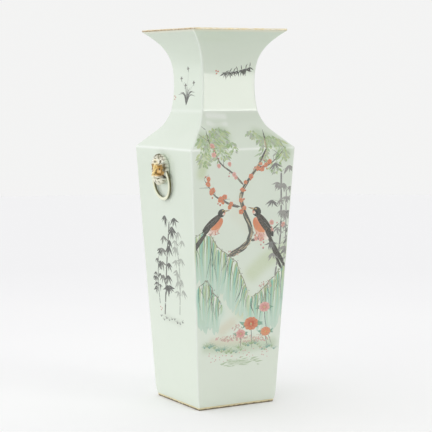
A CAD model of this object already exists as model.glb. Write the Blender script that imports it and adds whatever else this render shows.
"""Square porcelain vase with lion-mask ring handles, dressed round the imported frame.

Every length is in metres, in the frame's own axes: the foot stands on Z = 0, the painted front
faces -Y, and the handles are on -X and +X. A panel is one side of the vase, read as a flat sheet:
across runs to the right as someone facing that side sees it, and height runs up from the foot.
"""
import logging
import math
from dataclasses import dataclass, field
from enum import Enum

import bpy
import numpy as np
from mathutils import Matrix, Vector


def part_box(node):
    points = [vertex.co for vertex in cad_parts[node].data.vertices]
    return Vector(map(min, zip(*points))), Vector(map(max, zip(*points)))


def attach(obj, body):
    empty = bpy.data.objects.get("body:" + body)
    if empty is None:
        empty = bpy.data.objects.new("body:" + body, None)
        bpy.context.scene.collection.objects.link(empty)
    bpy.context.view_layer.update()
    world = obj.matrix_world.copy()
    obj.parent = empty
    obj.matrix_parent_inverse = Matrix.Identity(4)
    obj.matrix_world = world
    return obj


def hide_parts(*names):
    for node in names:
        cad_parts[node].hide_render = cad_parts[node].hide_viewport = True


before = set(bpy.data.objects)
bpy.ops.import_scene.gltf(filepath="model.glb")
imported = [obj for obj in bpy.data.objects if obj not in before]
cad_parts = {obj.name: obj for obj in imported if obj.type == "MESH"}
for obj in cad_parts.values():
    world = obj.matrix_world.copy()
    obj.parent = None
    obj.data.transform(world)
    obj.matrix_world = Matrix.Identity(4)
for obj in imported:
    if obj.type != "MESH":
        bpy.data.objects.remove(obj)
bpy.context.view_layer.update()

Array = np.ndarray
Dice = np.random.Generator
Socket = bpy.types.NodeSocket
Material = bpy.types.Material
Piece = bpy.types.Object

MM = 0.001
QUARTER_TURN = math.pi / 2

logging.basicConfig(level=logging.INFO, format="%(message)s")
LOG = logging.getLogger("vase")


class Side(Enum):
    """The four sides of the vase, each with the turns that bring it from the front."""

    FRONT = 0
    RIGHT = 1
    BACK = 2
    LEFT = 3

    @property
    def label(self) -> str:
        """The side's name as the frame's nodes spell it."""
        return self.name.lower()

    def turn(self, points: Array) -> Array:
        """Turns points or directions from the front to this side, exactly.

        Args:
            points: an array whose last axis is x, y, z.

        Returns:
            The same array turned about the upright axis by this side's quarter turns.
        """
        x, y, z = points[..., 0], points[..., 1], points[..., 2]
        turned = {0: (x, y), 1: (-y, x), 2: (-x, -y), 3: (y, -x)}[self.value]
        return np.stack([*turned, z], axis=-1)


class Slab(Enum):
    """The three slabs that make up one side, from the foot to the lip."""

    BODY = "body_slab"
    SHOULDER = "shoulder_slab"
    NECK = "neck_slab"


def linear(red: int, green: int, blue: int) -> tuple[float, float, float, float]:
    """The linear colour of a display colour given as three numbers from 0 to 255."""
    scaled = np.array([red, green, blue]) / 255.0
    low, high = scaled / 12.92, ((scaled + 0.055) / 1.055) ** 2.4
    return (*np.where(scaled <= 0.04045, low, high).tolist(), 1.0)


def bezier(points: list[tuple[float, float]], steps: int) -> Array:
    """Points along a Bezier curve, as the Bernstein sum of its control points.

    Args:
        points: the control points.
        steps: the number of equal parameter steps.

    Returns:
        An array of steps + 1 points.
    """
    t = np.linspace(0.0, 1.0, steps + 1)[:, None]
    degree = len(points) - 1
    weights = [math.comb(degree, k) * t**k * (1 - t) ** (degree - k) for k in range(degree + 1)]
    return sum(w * np.array(p)[None, :] for w, p in zip(weights, points))


def closed_grid(rows: int, columns: int, wrap_rows: bool, wrap_columns: bool) -> Array:
    """Quads of a grid of vertices numbered row by row.

    Args:
        rows: the number of rows of vertices.
        columns: the number of vertices in a row.
        wrap_rows: whether the last row joins the first.
        wrap_columns: whether the last column joins the first.

    Returns:
        An array of quads, wound so that row direction cross column direction points outwards.
    """
    i = np.arange(rows if wrap_rows else rows - 1)[:, None]
    j = np.arange(columns if wrap_columns else columns - 1)[None, :]
    up, on = (i + 1) % rows, (j + 1) % columns
    quads = [i * columns + j, i * columns + on, up * columns + on, up * columns + j]
    return np.stack(np.broadcast_arrays(*quads), axis=-1).reshape(-1, 4)


def make_object(name: str, vertices: Array, faces: Array | list, normals: Array | None = None) -> Piece:
    """Puts a computed surface into a mesh object at the origin.

    Args:
        name: the piece's name.
        vertices: an array of positions.
        faces: quads or triangles as rows of vertex numbers.
        normals: one normal for each face corner, or None for smooth shading as Blender works it out.

    Returns:
        The object, linked to the scene.
    """
    mesh = bpy.data.meshes.new(name)
    mesh.from_pydata(vertices.tolist(), [], [list(map(int, f)) for f in faces])
    mesh.polygons.foreach_set("use_smooth", np.ones(len(mesh.polygons), dtype=bool))
    mesh.update()
    if normals is not None:
        mesh.normals_split_custom_set(normals.tolist())
    piece = bpy.data.objects.new(name, mesh)
    bpy.context.scene.collection.objects.link(piece)
    return piece


def add_colours(piece: Piece, name: str, colours: Array) -> None:
    """Stores one linear colour with alpha for each vertex of a piece."""
    layer = piece.data.color_attributes.new(name, "FLOAT_COLOR", "POINT")
    layer.data.foreach_set("color", colours.astype(np.float32).ravel())


def add_numbers(piece: Piece, name: str, values: Array) -> None:
    """Stores one number for each vertex of a piece."""
    layer = piece.data.attributes.new(name, "FLOAT", "POINT")
    layer.data.foreach_set("value", values.astype(np.float32).ravel())


def finish(piece: Piece, material: Material, node: str | None = None) -> Piece:
    """Gives a piece its finish and joins it to the frame.

    Args:
        piece: the piece.
        material: its finish.
        node: the frame's node that it replaces, or None if it is added to them.

    Returns:
        The same piece, riding with the vase.
    """
    piece.data.materials.append(material)
    if node is not None:
        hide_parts(node)
    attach(piece, "root")
    return piece


def fan(first: int, count: int, pole: int) -> Array:
    """Triangles from each of a ring's vertices to the next and to a pole."""
    j = np.arange(count)
    return np.stack([first + j, first + (j + 1) % count, np.full(count, pole)], axis=1)


def heading(angle: float) -> Array:
    """The unit step at an angle in radians, anticlockwise from across, as across and up."""
    return np.array([math.cos(angle), math.sin(angle)])


def mixed(first: Array, second: Array, share: Array | float) -> Array:
    """Two arrays mixed by a share of the second."""
    return first * (1 - share) + second * share


def ramp(value: Array, low: float, high: float) -> Array:
    """How far each value has come from low to high, as a share from 0 to 1."""
    return np.clip((value - low) / (high - low), 0, 1)


class Graph:
    """A material's node tree, with short calls to add and join nodes."""

    def __init__(self, name: str) -> None:
        """Starts a material that holds only a surface shader and its output."""
        self.material = bpy.data.materials.new(name)
        self.material.use_nodes = True
        self.tree = self.material.node_tree
        self.shader = self.tree.nodes["Principled BSDF"]

    @classmethod
    def over(cls, tree: bpy.types.NodeTree) -> "Graph":
        """The same short calls on a tree that is there already."""
        graph = cls.__new__(cls)
        graph.tree = tree
        return graph

    def dot(self, way: Socket, axis: tuple) -> Socket:
        """The share of a direction along an axis."""
        return self.add("VectorMath", {0: way, 1: axis}, operation="DOT_PRODUCT").outputs["Value"]

    def add(self, kind: str, inputs: dict | None = None, **settings) -> bpy.types.Node:
        """Adds a node.

        Args:
            kind: the node's type name without the ShaderNode prefix.
            inputs: socket names or numbers, each with a value or with a socket to join to it.
            settings: attributes to set on the node first.

        Returns:
            The new node.
        """
        node = self.tree.nodes.new("ShaderNode" + kind)
        for key, value in settings.items():
            setattr(node, key, value)
        self.feed(node, inputs or {})
        return node

    def feed(self, node: bpy.types.Node, inputs: dict) -> None:
        """Sets or joins several inputs of a node."""
        for key, value in inputs.items():
            if isinstance(value, Socket):
                self.tree.links.new(value, node.inputs[key])
            else:
                node.inputs[key].default_value = value

    def place(self) -> Socket:
        """The piece's own coordinates, in metres."""
        return self.add("TexCoord").outputs["Object"]

    def noise(self, scale: float, detail: float = 3.0, roughness: float = 0.55) -> Socket:
        """Noise between 0 and 1 with a feature size of one over the scale, in metres."""
        made = self.add("TexNoise", {"Vector": self.place(), "Scale": scale, "Detail": detail,
                                     "Roughness": roughness})
        return made.outputs["Fac"]

    def spread(self, value: Socket, low: float, high: float, to_low: float, to_high: float) -> Socket:
        """Maps a value from one range to another, held at the ends."""
        made = self.add("MapRange", {"Value": value, "From Min": low, "From Max": high,
                                     "To Min": to_low, "To Max": to_high})
        return made.outputs["Result"]

    def blend(self, share: Socket | float, first, second) -> Socket:
        """Mixes two colours by a share of the second."""
        made = self.add("Mix", {0: share, 6: first, 7: second}, data_type="RGBA")
        return made.outputs[2]

    def bump(self, height: Socket, strength: float, distance: float,
             under: Socket | None = None) -> Socket:
        """A normal pushed about by a height in metres, over an earlier one if given."""
        inputs = {"Height": height, "Strength": strength, "Distance": distance}
        if under is not None:
            inputs["Normal"] = under
        return self.add("Bump", inputs).outputs["Normal"]

    def attribute(self, name: str) -> bpy.types.Node:
        """A node that reads one of the piece's own attributes."""
        return self.add("Attribute", attribute_name=name)

    def reckon(self, operation: str, first, second) -> Socket:
        """What a Math node makes of two values."""
        return self.add("Math", {0: first, 1: second}, operation=operation).outputs[0]


@dataclass(frozen=True)
class Glaze:
    """The clear green-white glaze over porcelain: paler near the foot and on the arrises, and
    deeper under the lip. Heights are in metres."""

    body: tuple = (0.735, 0.805, 0.70, 1.0)
    pooled: tuple = (0.71, 0.785, 0.675, 1.0)
    low: tuple = (0.78, 0.845, 0.74, 1.0)
    deep: tuple = (0.60, 0.675, 0.56, 1.0)
    thin: tuple = (0.85, 0.9, 0.83, 1.0)
    speck: tuple = linear(172, 160, 130)
    pale_up_to: float = 0.26
    deepens_between: tuple = (0.515, 0.566)
    refraction: float = 1.5
    roughness: float = 0.07

    def tone(self, g: Graph) -> Socket:
        """The bare glaze's colour, which drifts slowly and has rare specks."""
        drift = g.spread(g.noise(9.0, 2.0), 0.35, 0.65, 0.0, 1.0)
        tone = g.blend(drift, self.body, self.pooled)
        height = g.dot(g.place(), (0.0, 0.0, 1.0))
        tone = g.blend(g.spread(height, 0.0, self.pale_up_to, 1.0, 0.0), tone, self.low)
        tone = g.blend(g.spread(height, *self.deepens_between, 0.0, 0.85), tone, self.deep)
        specks = g.spread(g.noise(900.0, 1.0), 0.78, 0.8, 0.0, 0.55)
        return g.blend(specks, tone, self.speck)

    def surface(self, g: Graph, tone: Socket) -> Material:
        """Gives the glaze's wavy surface and slightly uneven gloss to a tone.

        Args:
            g: the material's graph.
            tone: its colour.

        Returns:
            The finished material.
        """
        orange_peel = g.bump(g.noise(160.0, 2.0), 0.10, 0.0006)
        ripple = g.bump(g.noise(24.0, 1.0), 0.35, 0.0011, orange_peel)
        gloss = g.spread(g.noise(60.0, 3.0), 0.3, 0.7, self.roughness, self.roughness + 0.06)
        g.feed(g.shader, {"Base Color": tone, "IOR": self.refraction, "Roughness": gloss, "Normal": ripple})
        return g.material

    def material(self) -> Material:
        """Bare glaze that pales where the thin attribute is high, under the washes of the wash
        attribute."""
        g = Graph("green_white_glaze")
        tone = g.blend(g.attribute("thin").outputs["Fac"], self.tone(g), self.thin)
        return self.surface(g, self.tinted(g, tone, "wash", 0.72))

    def painted(self) -> Material:
        """Overglaze enamel: the paint attribute's colour laid over bare glaze by its alpha."""
        g = Graph("overglaze_enamel")
        return self.surface(g, self.tinted(g, self.tone(g), "paint", 0.86))

    @staticmethod
    def tinted(g: Graph, tone: Socket, name: str, thinnest: float) -> Socket:
        """Lays an attribute's colour over a tone, as thickly as its alpha, with a brushed grain.

        Args:
            g: the material's graph.
            tone: what lies under it.
            name: the attribute.
            thinnest: the share of the colour that the grain leaves at least.

        Returns:
            The tinted tone.
        """
        paint = g.attribute(name).outputs
        grain = g.spread(g.noise(420.0, 4.0), 0.3, 0.7, thinnest, 1.0)
        return g.blend(g.reckon("MULTIPLY", paint["Alpha"], grain), tone, paint["Color"])


@dataclass(frozen=True)
class Gilding:
    """Worn gold on a glazed edge: the glaze shows through where hands have rubbed it."""

    gold: tuple = linear(240, 226, 182)
    rubbed: tuple = linear(246, 241, 222)
    line: tuple = linear(150, 112, 58)
    roughness: float = 0.32

    def material(self) -> Material:
        """Gold mixed with rubbed glaze by noise, and a brown line where the line attribute is high."""
        g = Graph("worn_gilding")
        wear = g.spread(g.noise(120.0, 5.0), 0.38, 0.6, 0.15, 0.95)
        ragged = g.reckon("MULTIPLY", g.attribute("line").outputs["Fac"],
                          g.spread(g.noise(300.0, 3.0), 0.3, 0.7, 0.4, 1.1))
        tone = g.blend(ragged, g.blend(wear, self.gold, self.rubbed), self.line)
        g.feed(g.shader, {"Base Color": tone, "Metallic": g.spread(wear, 0.0, 1.0, 0.25, 0.03),
                          "Roughness": self.roughness, "Normal": g.bump(g.noise(500.0, 3.0), 0.2, 0.0003)})
        return g.material


@dataclass(frozen=True)
class IronWash:
    """Brown iron wash on the foot: dark at the table, golden where it meets the glaze."""

    dark: tuple = linear(112, 94, 62)
    golden: tuple = linear(232, 222, 182)
    roughness: float = 0.5

    def material(self) -> Material:
        """Brown that turns golden with the line attribute, broken up by noise."""
        g = Graph("iron_wash")
        uneven = g.reckon("ADD", g.attribute("line").outputs["Fac"],
                          g.spread(g.noise(180.0, 4.0), 0.2, 0.8, -0.25, 0.25))
        tone = g.blend(g.spread(uneven, 0.25, 0.6, 0.0, 1.0), self.dark, self.golden)
        g.feed(g.shader, {"Base Color": tone, "Roughness": self.roughness,
                          "Normal": g.bump(g.noise(700.0, 4.0), 0.3, 0.0003)})
        return g.material


@dataclass(frozen=True)
class Biscuit:
    """Unglazed porcelain body: matt, warm and finely grained, with kiln stains."""

    clay: tuple = linear(226, 216, 198)
    stain: tuple = linear(196, 166, 128)
    roughness: float = 0.85

    def material(self) -> Material:
        """Warm clay with soft stains and a sandy grain."""
        g = Graph("fired_biscuit")
        stains = g.spread(g.noise(40.0, 5.0), 0.5, 0.75, 0.0, 0.7)
        g.feed(g.shader, {"Base Color": g.blend(stains, self.clay, self.stain), "Roughness": self.roughness,
                          "Normal": g.bump(g.noise(1500.0, 2.0), 0.4, 0.0003)})
        return g.material


@dataclass(frozen=True)
class MaskEnamel:
    """Cream enamel, gilded and lined by hand: its colours lie in the paint attribute."""

    rubbed: tuple = linear(246, 236, 200)
    lightness: tuple = (0.3, 0.6, 0.1)
    roughness: float = 0.16
    coat_roughness: float = 0.06

    def material(self) -> Material:
        """The paint attribute's colour, with its alpha as the share of metallic gilding. The
        dark lines are matt and the pale enamel is glossy."""
        g = Graph("mask_enamel")
        paint = g.attribute("paint").outputs
        worn = g.spread(g.noise(700.0, 4.0), 0.3, 0.7, 0.0, 0.12)
        pale = g.dot(paint["Color"], self.lightness)
        g.feed(g.shader, {"Base Color": g.blend(worn, paint["Color"], self.rubbed),
                          "Metallic": paint["Alpha"], "Roughness": self.roughness,
                          "Specular IOR Level": g.spread(pale, 0.02, 0.4, 0.06, 0.5),
                          "Coat Weight": g.spread(pale, 0.05, 0.5, 0.0, 0.35),
                          "Coat Roughness": self.coat_roughness,
                          "Normal": g.bump(g.noise(900.0, 2.0), 0.12, 0.0002)})
        return g.material


@dataclass(frozen=True)
class VaseForm:
    """The outer profile, as half-widths at heights above the foot, and the wall's thickness."""

    lip_bottom: float
    foot_top: float
    foot_half: float = 68 * MM
    ridge: tuple = (89.9 * MM, 392 * MM)
    slope_end: tuple = (63 * MM, 419.2 * MM)
    crease: tuple = (49 * MM, 447 * MM)
    waist: tuple = (45.8 * MM, 484 * MM)
    mouth_half: float = 81.7 * MM
    foot_draw_in: float = 2.7 * MM
    foot_curve: float = 18 * MM
    shoulder_lean: float = -0.3
    neck_lean: float = -0.14
    mouth_lean: float = 1.25
    flare_pulls: tuple = (41 * MM, 24 * MM)
    ridge_radius: float = 2.5 * MM
    corner_radius: float = 2.6 * MM
    wall: float = 5.6 * MM
    glaze_inset: float = 0.15 * MM

    def profile(self) -> dict[Slab, Array]:
        """The outer profile of each slab. The body is a straight line up to a rounded ridge, the
        shoulder a straight slope that bends up in a quadratic curve to the crease, and the neck a
        quadratic draw-in to the waist followed by a cubic flare.

        Returns:
            For each slab, rows of half-width and height, from its lower end to its upper one.
        """
        ridge, slope_end = np.array(self.ridge), np.array(self.slope_end)
        foot = np.array([self.foot_half, 0.0])
        up_body = (ridge - foot) / np.linalg.norm(ridge - foot)
        up_slope = (slope_end - ridge) / np.linalg.norm(slope_end - ridge)
        turn = math.acos(float(up_body @ up_slope))
        setback = self.ridge_radius * math.tan(turn / 2)
        start, end = ridge - up_body * setback, ridge + up_slope * setback
        arc = self._arc(start, up_body, turn, 12)
        middle = len(arc) // 2
        body_start = foot + up_body * (self.foot_top / up_body[1])
        wall = self._line(body_start, start, 150)
        wall[:, 0] = self.wall_half(wall[:, 1])
        body = np.vstack([wall, arc[1:middle + 1]])
        bend = self._meeting(slope_end, up_slope, self.crease, self.shoulder_lean)
        shoulder = np.vstack([arc[middle:], self._line(end, slope_end, 16)[1:],
                              bezier([slope_end, bend, self.crease], 20)[1:]])
        below = self._meeting(np.array(self.waist), np.array([0.0, -1.0]), self.crease, self.neck_lean)
        mouth = np.array([self.mouth_half, self.lip_bottom])
        flare = [self.waist, (self.waist[0], self.waist[1] + self.flare_pulls[0]),
                 mouth - np.array([self.mouth_lean, 1.0]) * self.flare_pulls[1], mouth]
        neck = np.vstack([bezier([self.crease, below, self.waist], 20), bezier(flare, 60)[1:]])
        return {Slab.BODY: body, Slab.SHOULDER: shoulder, Slab.NECK: neck}

    def wall_half(self, height: Array | float) -> Array:
        """The body's half-width below the ridge: a straight taper, drawn in near the foot by the
        square of the share of the foot's curve still to climb."""
        to_go = np.clip(1 - height / self.foot_curve, 0, 1)
        taper = (self.ridge[0] - self.foot_half) / self.ridge[1]
        return self.foot_half + taper * height - self.foot_draw_in * to_go**2

    @staticmethod
    def _line(start: Array, end: Array, steps: int) -> Array:
        """Evenly spaced points from start to end."""
        return start + (end - start) * np.linspace(0, 1, steps + 1)[:, None]

    def _arc(self, start: Array, along: Array, turn: float, steps: int) -> Array:
        """Points of the ridge's rounding, which turns towards the axis from a start direction."""
        inward = np.array([-along[1], along[0]])
        angle = np.linspace(0, turn, steps + 1)[:, None]
        return start + self.ridge_radius * (np.sin(angle) * along + (1 - np.cos(angle)) * inward)

    @staticmethod
    def _meeting(point: Array, along: Array, other: tuple, lean: float) -> Array:
        """Where a line through a point meets a line that leans by the given slope through another."""
        matrix = np.array([[along[0], -lean], [along[1], -1.0]])
        step = np.linalg.solve(matrix, np.array(other) - point)
        return point + along * step[0]

    def outline(self) -> Array:
        """The whole outer profile from the foot ring to the lip, as one climbing line."""
        parts = list(self.profile().values())
        return np.vstack([parts[0], parts[1][1:], parts[2][1:]])

    def half_width(self, height: Array) -> Array:
        """The outer half-width at each height, set in by the glaze's allowance."""
        line = self.outline()
        return np.interp(height, line[:, 1], line[:, 0]) - self.glaze_inset

    def slope(self, height: Array) -> Array:
        """How fast the half-width grows with height, by a central difference."""
        step = 0.5 * MM
        return (self.half_width(height + step) - self.half_width(height - step)) / (2 * step)


def outward(profile: Array) -> Array:
    """Unit normals of a climbing profile, away from the axis: its tangent turned clockwise."""
    tangent = np.gradient(profile, axis=0)
    tangent /= np.linalg.norm(tangent, axis=1, keepdims=True)
    return np.stack([tangent[:, 1], -tangent[:, 0]], axis=1)


@dataclass(frozen=True)
class Wash:
    """A soft sweep of thin colour: a path in millimetres on a panel, with a half-width, a colour
    and a strength at its heart."""

    path: tuple
    reach: float
    colour: tuple
    strength: float = 0.5

    def over(self, across: Array, up: Array) -> Array:
        """Its strength at each point: a bell of the distance to the path over its half-width."""
        line = through(self.path, 12)
        nearest = np.full(across.shape, 1e9)
        for start, end in zip(line[:-1], line[1:]):
            along = end - start
            share = ((across - start[0]) * along[0] + (up - start[1]) * along[1]) / (along @ along)
            share = np.clip(share, 0, 1)
            away = (across - start[0] - share * along[0]) ** 2 + (up - start[1] - share * along[1]) ** 2
            nearest = np.minimum(nearest, away)
        return self.strength * np.exp(-((nearest / self.reach**2) ** 1.5))


def through(points: tuple, steps: int) -> Array:
    """A smooth curve through points: on each span the cubic whose slopes at both ends are half
    the step between the neighbouring points.

    Args:
        points: two or more points.
        steps: the number of points to return, evenly spread over the spans.

    Returns:
        An array of steps points.
    """
    p = np.array(points, dtype=float)
    if len(p) == 2:
        return p[0] + (p[1] - p[0]) * np.linspace(0, 1, steps)[:, None]
    slope = np.gradient(p, axis=0)
    t = np.linspace(0, len(p) - 1, steps)
    k = np.minimum(t.astype(int), len(p) - 2)
    u = (t - k)[:, None]
    return ((1 + 2 * u) * (1 - u) ** 2 * p[k] + u * (1 - u) ** 2 * slope[k]
            + u**2 * (3 - 2 * u) * p[k + 1] - u**2 * (1 - u) * slope[k + 1])


@dataclass
class Walls:
    """The twelve glazed slabs, each a closed wall that meets its neighbours exactly."""

    form: VaseForm
    glaze: Material
    washes: dict[Side, list[Wash]]
    flat_steps: int = 90
    arc_steps: int = 8
    inner_radius: float = 3.5 * MM

    def _across(self, half: Array, radius: float) -> tuple[Array, Array, Array]:
        """Across and out positions and the turn of the normal, for rows of a rounded square side.

        The side runs flat between its two corner arcs, and each arc stops at the mitre, an
        eighth of a turn round. Positions are centre + radius times the sine or cosine of the turn.

        Args:
            half: the half-width of each row.
            radius: the corners' radius.

        Returns:
            Arrays of rows by columns: across, out from the axis, and the normal's turn.
        """
        arc = np.linspace(0, QUARTER_TURN / 2, self.arc_steps + 1)[1:]
        flat = np.linspace(-1, 1, self.flat_steps + 1)
        turn = np.concatenate([-arc[::-1], np.zeros_like(flat), arc])
        centre = (half - radius)[:, None]
        side = np.concatenate([-np.ones_like(arc), flat, np.ones_like(arc)])[None, :]
        across = centre * side + radius * np.sin(turn)[None, :]
        out = centre + radius * np.cos(turn)[None, :]
        return across, out, np.broadcast_to(turn, across.shape)

    def _skin(self, profile: Array, normal: Array, radius: float) -> tuple[Array, Array]:
        """Points and unit normals of one face of a slab on the front side.

        Args:
            profile: rows of half-width and height.
            normal: the profile's unit normals.
            radius: the corners' radius.

        Returns:
            Rows of points along the side, and their normals.
        """
        across, out, turn = self._across(profile[:, 0], radius)
        height = np.broadcast_to(profile[:, 1][:, None], across.shape)
        points = np.stack([across, -out, height], axis=-1)
        lean, rise = normal[:, 0][:, None], normal[:, 1][:, None]
        directions = np.stack([lean * np.sin(turn), -lean * np.cos(turn),
                               np.broadcast_to(rise, across.shape)], axis=-1)
        return points, directions

    def build(self, side: Side, slab: Slab) -> Piece:
        """One slab: an outer skin, an inner skin a wall's thickness behind it, and joint faces.

        Args:
            side: which side of the vase.
            slab: which slab of that side.

        Returns:
            The dressed piece.
        """
        profile = self.form.profile()[slab].copy()
        normal = self._joined_normals(slab)
        profile = profile - normal * self.form.glaze_inset
        inner = profile - normal * self.form.wall
        if slab is Slab.NECK:
            inner[:, 1] = np.minimum(inner[:, 1], self.form.lip_bottom)
        outer_points, outer_normals = self._skin(profile, normal, self.form.corner_radius)
        inner_points, inner_normals = self._skin(inner, -normal, self.inner_radius)
        ring = np.concatenate([outer_points, inner_points[:, ::-1]], axis=1)
        ring_normals = np.concatenate([outer_normals, inner_normals[:, ::-1]], axis=1)
        rows, columns = ring.shape[:2]
        single = outer_points.shape[1]
        quads = closed_grid(rows, columns, False, True)
        j = np.arange(single - 1)
        top = (rows - 1) * columns
        low_cap = np.stack([j + 1, j, columns - 1 - j, columns - 2 - j], axis=1)
        high_cap = np.stack([j, j + 1, columns - 2 - j, columns - 1 - j], axis=1) + top
        vertices = side.turn(ring.reshape(-1, 3))
        smooth = side.turn(ring_normals.reshape(-1, 3))
        column = np.tile(np.arange(columns), rows - 1)
        joint = (column == single - 1) | (column == columns - 1)
        faces = np.vstack([quads, low_cap, high_cap])
        flat = self._face_normals(vertices, faces)
        corner_normals = smooth[faces]
        sharp = np.concatenate([joint, np.ones(2 * (single - 1), dtype=bool)])
        corner_normals[sharp] = flat[sharp][:, None, :]
        name = f"{side.label}_{slab.value}"
        piece = make_object(f"{name}_glazed", vertices, faces, corner_normals.reshape(-1, 3))
        add_numbers(piece, "thin", self._thinned(ring, single))
        add_colours(piece, "wash", self._washed(side, ring).reshape(-1, 4))
        return finish(piece, self.glaze, name)

    def _joined_normals(self, slab: Slab) -> Array:
        """Normals of a slab's profile, taken from the whole outline so that joints match."""
        lengths = [len(part) for part in self.form.profile().values()]
        order = list(Slab).index(slab)
        first = sum(lengths[:order]) - order
        return outward(self.form.outline())[first:first + lengths[order]]

    @staticmethod
    def _face_normals(vertices: Array, faces: Array) -> Array:
        """The unit normal of each quad, from the cross product of its diagonals."""
        a, b, c, d = (vertices[faces[:, k]] for k in range(4))
        normal = np.cross(c - a, d - b)
        return normal / np.maximum(np.linalg.norm(normal, axis=1, keepdims=True), 1e-12)

    def _thinned(self, ring: Array, single: int) -> Array:
        """How thin the glaze is at each vertex: bells of the distance from the arris, the ridge
        and the crease, and none inside.

        Args:
            ring: rows of points round the slab, on the front side.
            single: how many points of each row lie outside.

        Returns:
            The share for each point.
        """
        across, out, height = np.abs(ring[..., 0]), -ring[..., 1], ring[..., 2]
        ridge = self.form.ridge[1] - 0.4 * MM
        thin = np.exp(-(((out - across) / (1.8 * MM)) ** 2)) * 0.85
        thin = np.maximum(thin, np.exp(-(((height - ridge) / (1.6 * MM)) ** 2)))
        thin = np.maximum(thin, 0.5 * np.exp(-(((height - self.form.crease[1]) / (2.5 * MM)) ** 2)))
        thin[:, single:] = 0.0
        return thin

    def _washed(self, side: Side, ring: Array) -> Array:
        """The colour and strength of a side's washes at each vertex, laid one over another."""
        colour = np.zeros((*ring.shape[:2], 4))
        for wash in self.washes.get(side, []):
            share = wash.over(ring[..., 0] / MM, ring[..., 2] / MM)[..., None]
            total = share + colour[..., 3:] * (1 - share)
            laid = wash.colour[:3] * share + colour[..., :3] * colour[..., 3:] * (1 - share)
            colour = np.concatenate([laid / np.maximum(total, 1e-6), total], axis=-1)
        return colour


def rounded_loop(corners: list[tuple[float, float]], radius: float, steps: int = 4) -> Array:
    """A closed profile whose corners are cut by quadratic curves.

    Args:
        corners: its corner points in order.
        radius: how far from each corner the rounding starts.
        steps: the steps of each rounding.

    Returns:
        The points of the closed line.
    """
    points = np.array(corners)
    before, after = np.roll(points, 1, axis=0), np.roll(points, -1, axis=0)
    arcs = []
    for corner, last, following in zip(points, before, after):
        near = corner + (last - corner) * min(0.45, radius / np.linalg.norm(last - corner))
        far = corner + (following - corner) * min(0.45, radius / np.linalg.norm(following - corner))
        arcs.append(bezier([near, corner, far], steps))
    return np.vstack(arcs)


def square_frame(profile: Array, corner_radius: float, steps: int = 8,
                 straight: int = 24) -> tuple[Array, Array]:
    """Sweeps a closed profile of half-width and height round a square with rounded corners.

    Each point of the profile runs along its own rounded square: the corner's centre lies on the
    diagonal, at the half-width less the radius, and inner points get a smaller radius.

    Args:
        profile: rows of half-width and height.
        corner_radius: the radius at the widest point.
        steps: the steps of each corner.
        straight: the steps of each straight side.

    Returns:
        Vertices and quads.
    """
    radius = np.maximum(corner_radius / 4, corner_radius - (profile[:, 0].max() - profile[:, 0]))
    turns = np.concatenate([np.linspace(q, q + 1, steps + 1) for q in range(4)]) * QUARTER_TURN
    corner = np.repeat(np.arange(4), steps + 1)
    diagonal = (corner + 0.5) * QUARTER_TURN
    centre = (profile[:, 0] - radius)[None, :] * math.sqrt(2)
    x = centre * np.cos(diagonal)[:, None] + radius[None, :] * np.cos(turns)[:, None]
    y = centre * np.sin(diagonal)[:, None] + radius[None, :] * np.sin(turns)[:, None]
    stations = np.stack([x, y, np.broadcast_to(profile[:, 1], x.shape)], axis=-1)
    share = np.linspace(0, 1, straight + 1)[1:-1][:, None, None]
    rows = []
    for k in range(4):
        last = stations[(k + 1) * (steps + 1) - 1]
        following = stations[((k + 1) * (steps + 1)) % len(stations)]
        rows += [stations[k * (steps + 1):(k + 1) * (steps + 1)], last + (following - last) * share]
    grid = np.concatenate(rows)
    quads = closed_grid(grid.shape[0], grid.shape[1], True, True)
    return grid.reshape(-1, 3), quads[:, ::-1]


@dataclass
class Edges:
    """The gilded lip and the iron-washed foot ring."""

    form: VaseForm
    gilding: Material
    iron: Material
    lip_width: float = 8.2 * MM
    lip_flat: float = 3.0 * MM
    lip_rounding: float = 1.5 * MM
    lip_inset: float = 0.1 * MM
    line_height: float = 1.3 * MM
    line_reach: float = 1.1 * MM
    foot_ring_width: float = 8.4 * MM
    foot_bevel: float = 0.9 * MM

    def lip(self) -> Piece:
        """The lip: upright outside, rounded on top, and sloping in to the flare. Its brown line is
        strongest on the left side, and worn on the others."""
        low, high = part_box("lip")
        outer, top = high.x - self.form.glaze_inset, high.z - self.lip_inset
        corners = [(outer - self.lip_width, low.z), (outer, low.z), (outer, top),
                   (outer - self.lip_flat, top)]
        vertices, quads = square_frame(rounded_loop(corners, self.lip_rounding), self.form.corner_radius)
        outside = np.maximum(np.abs(vertices[:, 0]), np.abs(vertices[:, 1])) > outer - 0.7 * MM
        left = np.clip((-vertices[:, 0] - outer) / (10 * MM) + 1, 0.15, 1)
        above = vertices[:, 2] - low.z - self.line_height
        piece = make_object("gilded_lip", vertices, quads)
        add_numbers(piece, "line", outside * left * np.exp(-((above / self.line_reach) ** 2)))
        return finish(piece, self.gilding, "lip")

    def foot_ring(self) -> Piece:
        """The foot ring: the body's wall carried down to the table, with eased edges."""
        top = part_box("foot_ring")[1].z
        at_table, at_glaze = (float(self.form.wall_half(z)) - self.form.glaze_inset for z in (0.0, top))
        inner = at_glaze - self.foot_ring_width
        corners = [(inner, 0.0), (at_table, 0.0), (at_glaze, top), (inner, top)]
        vertices, quads = square_frame(rounded_loop(corners, self.foot_bevel), self.form.corner_radius)
        piece = make_object("iron_washed_foot", vertices, quads)
        add_numbers(piece, "line", vertices[:, 2] / top)
        return finish(piece, self.iron, "foot_ring")


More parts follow.
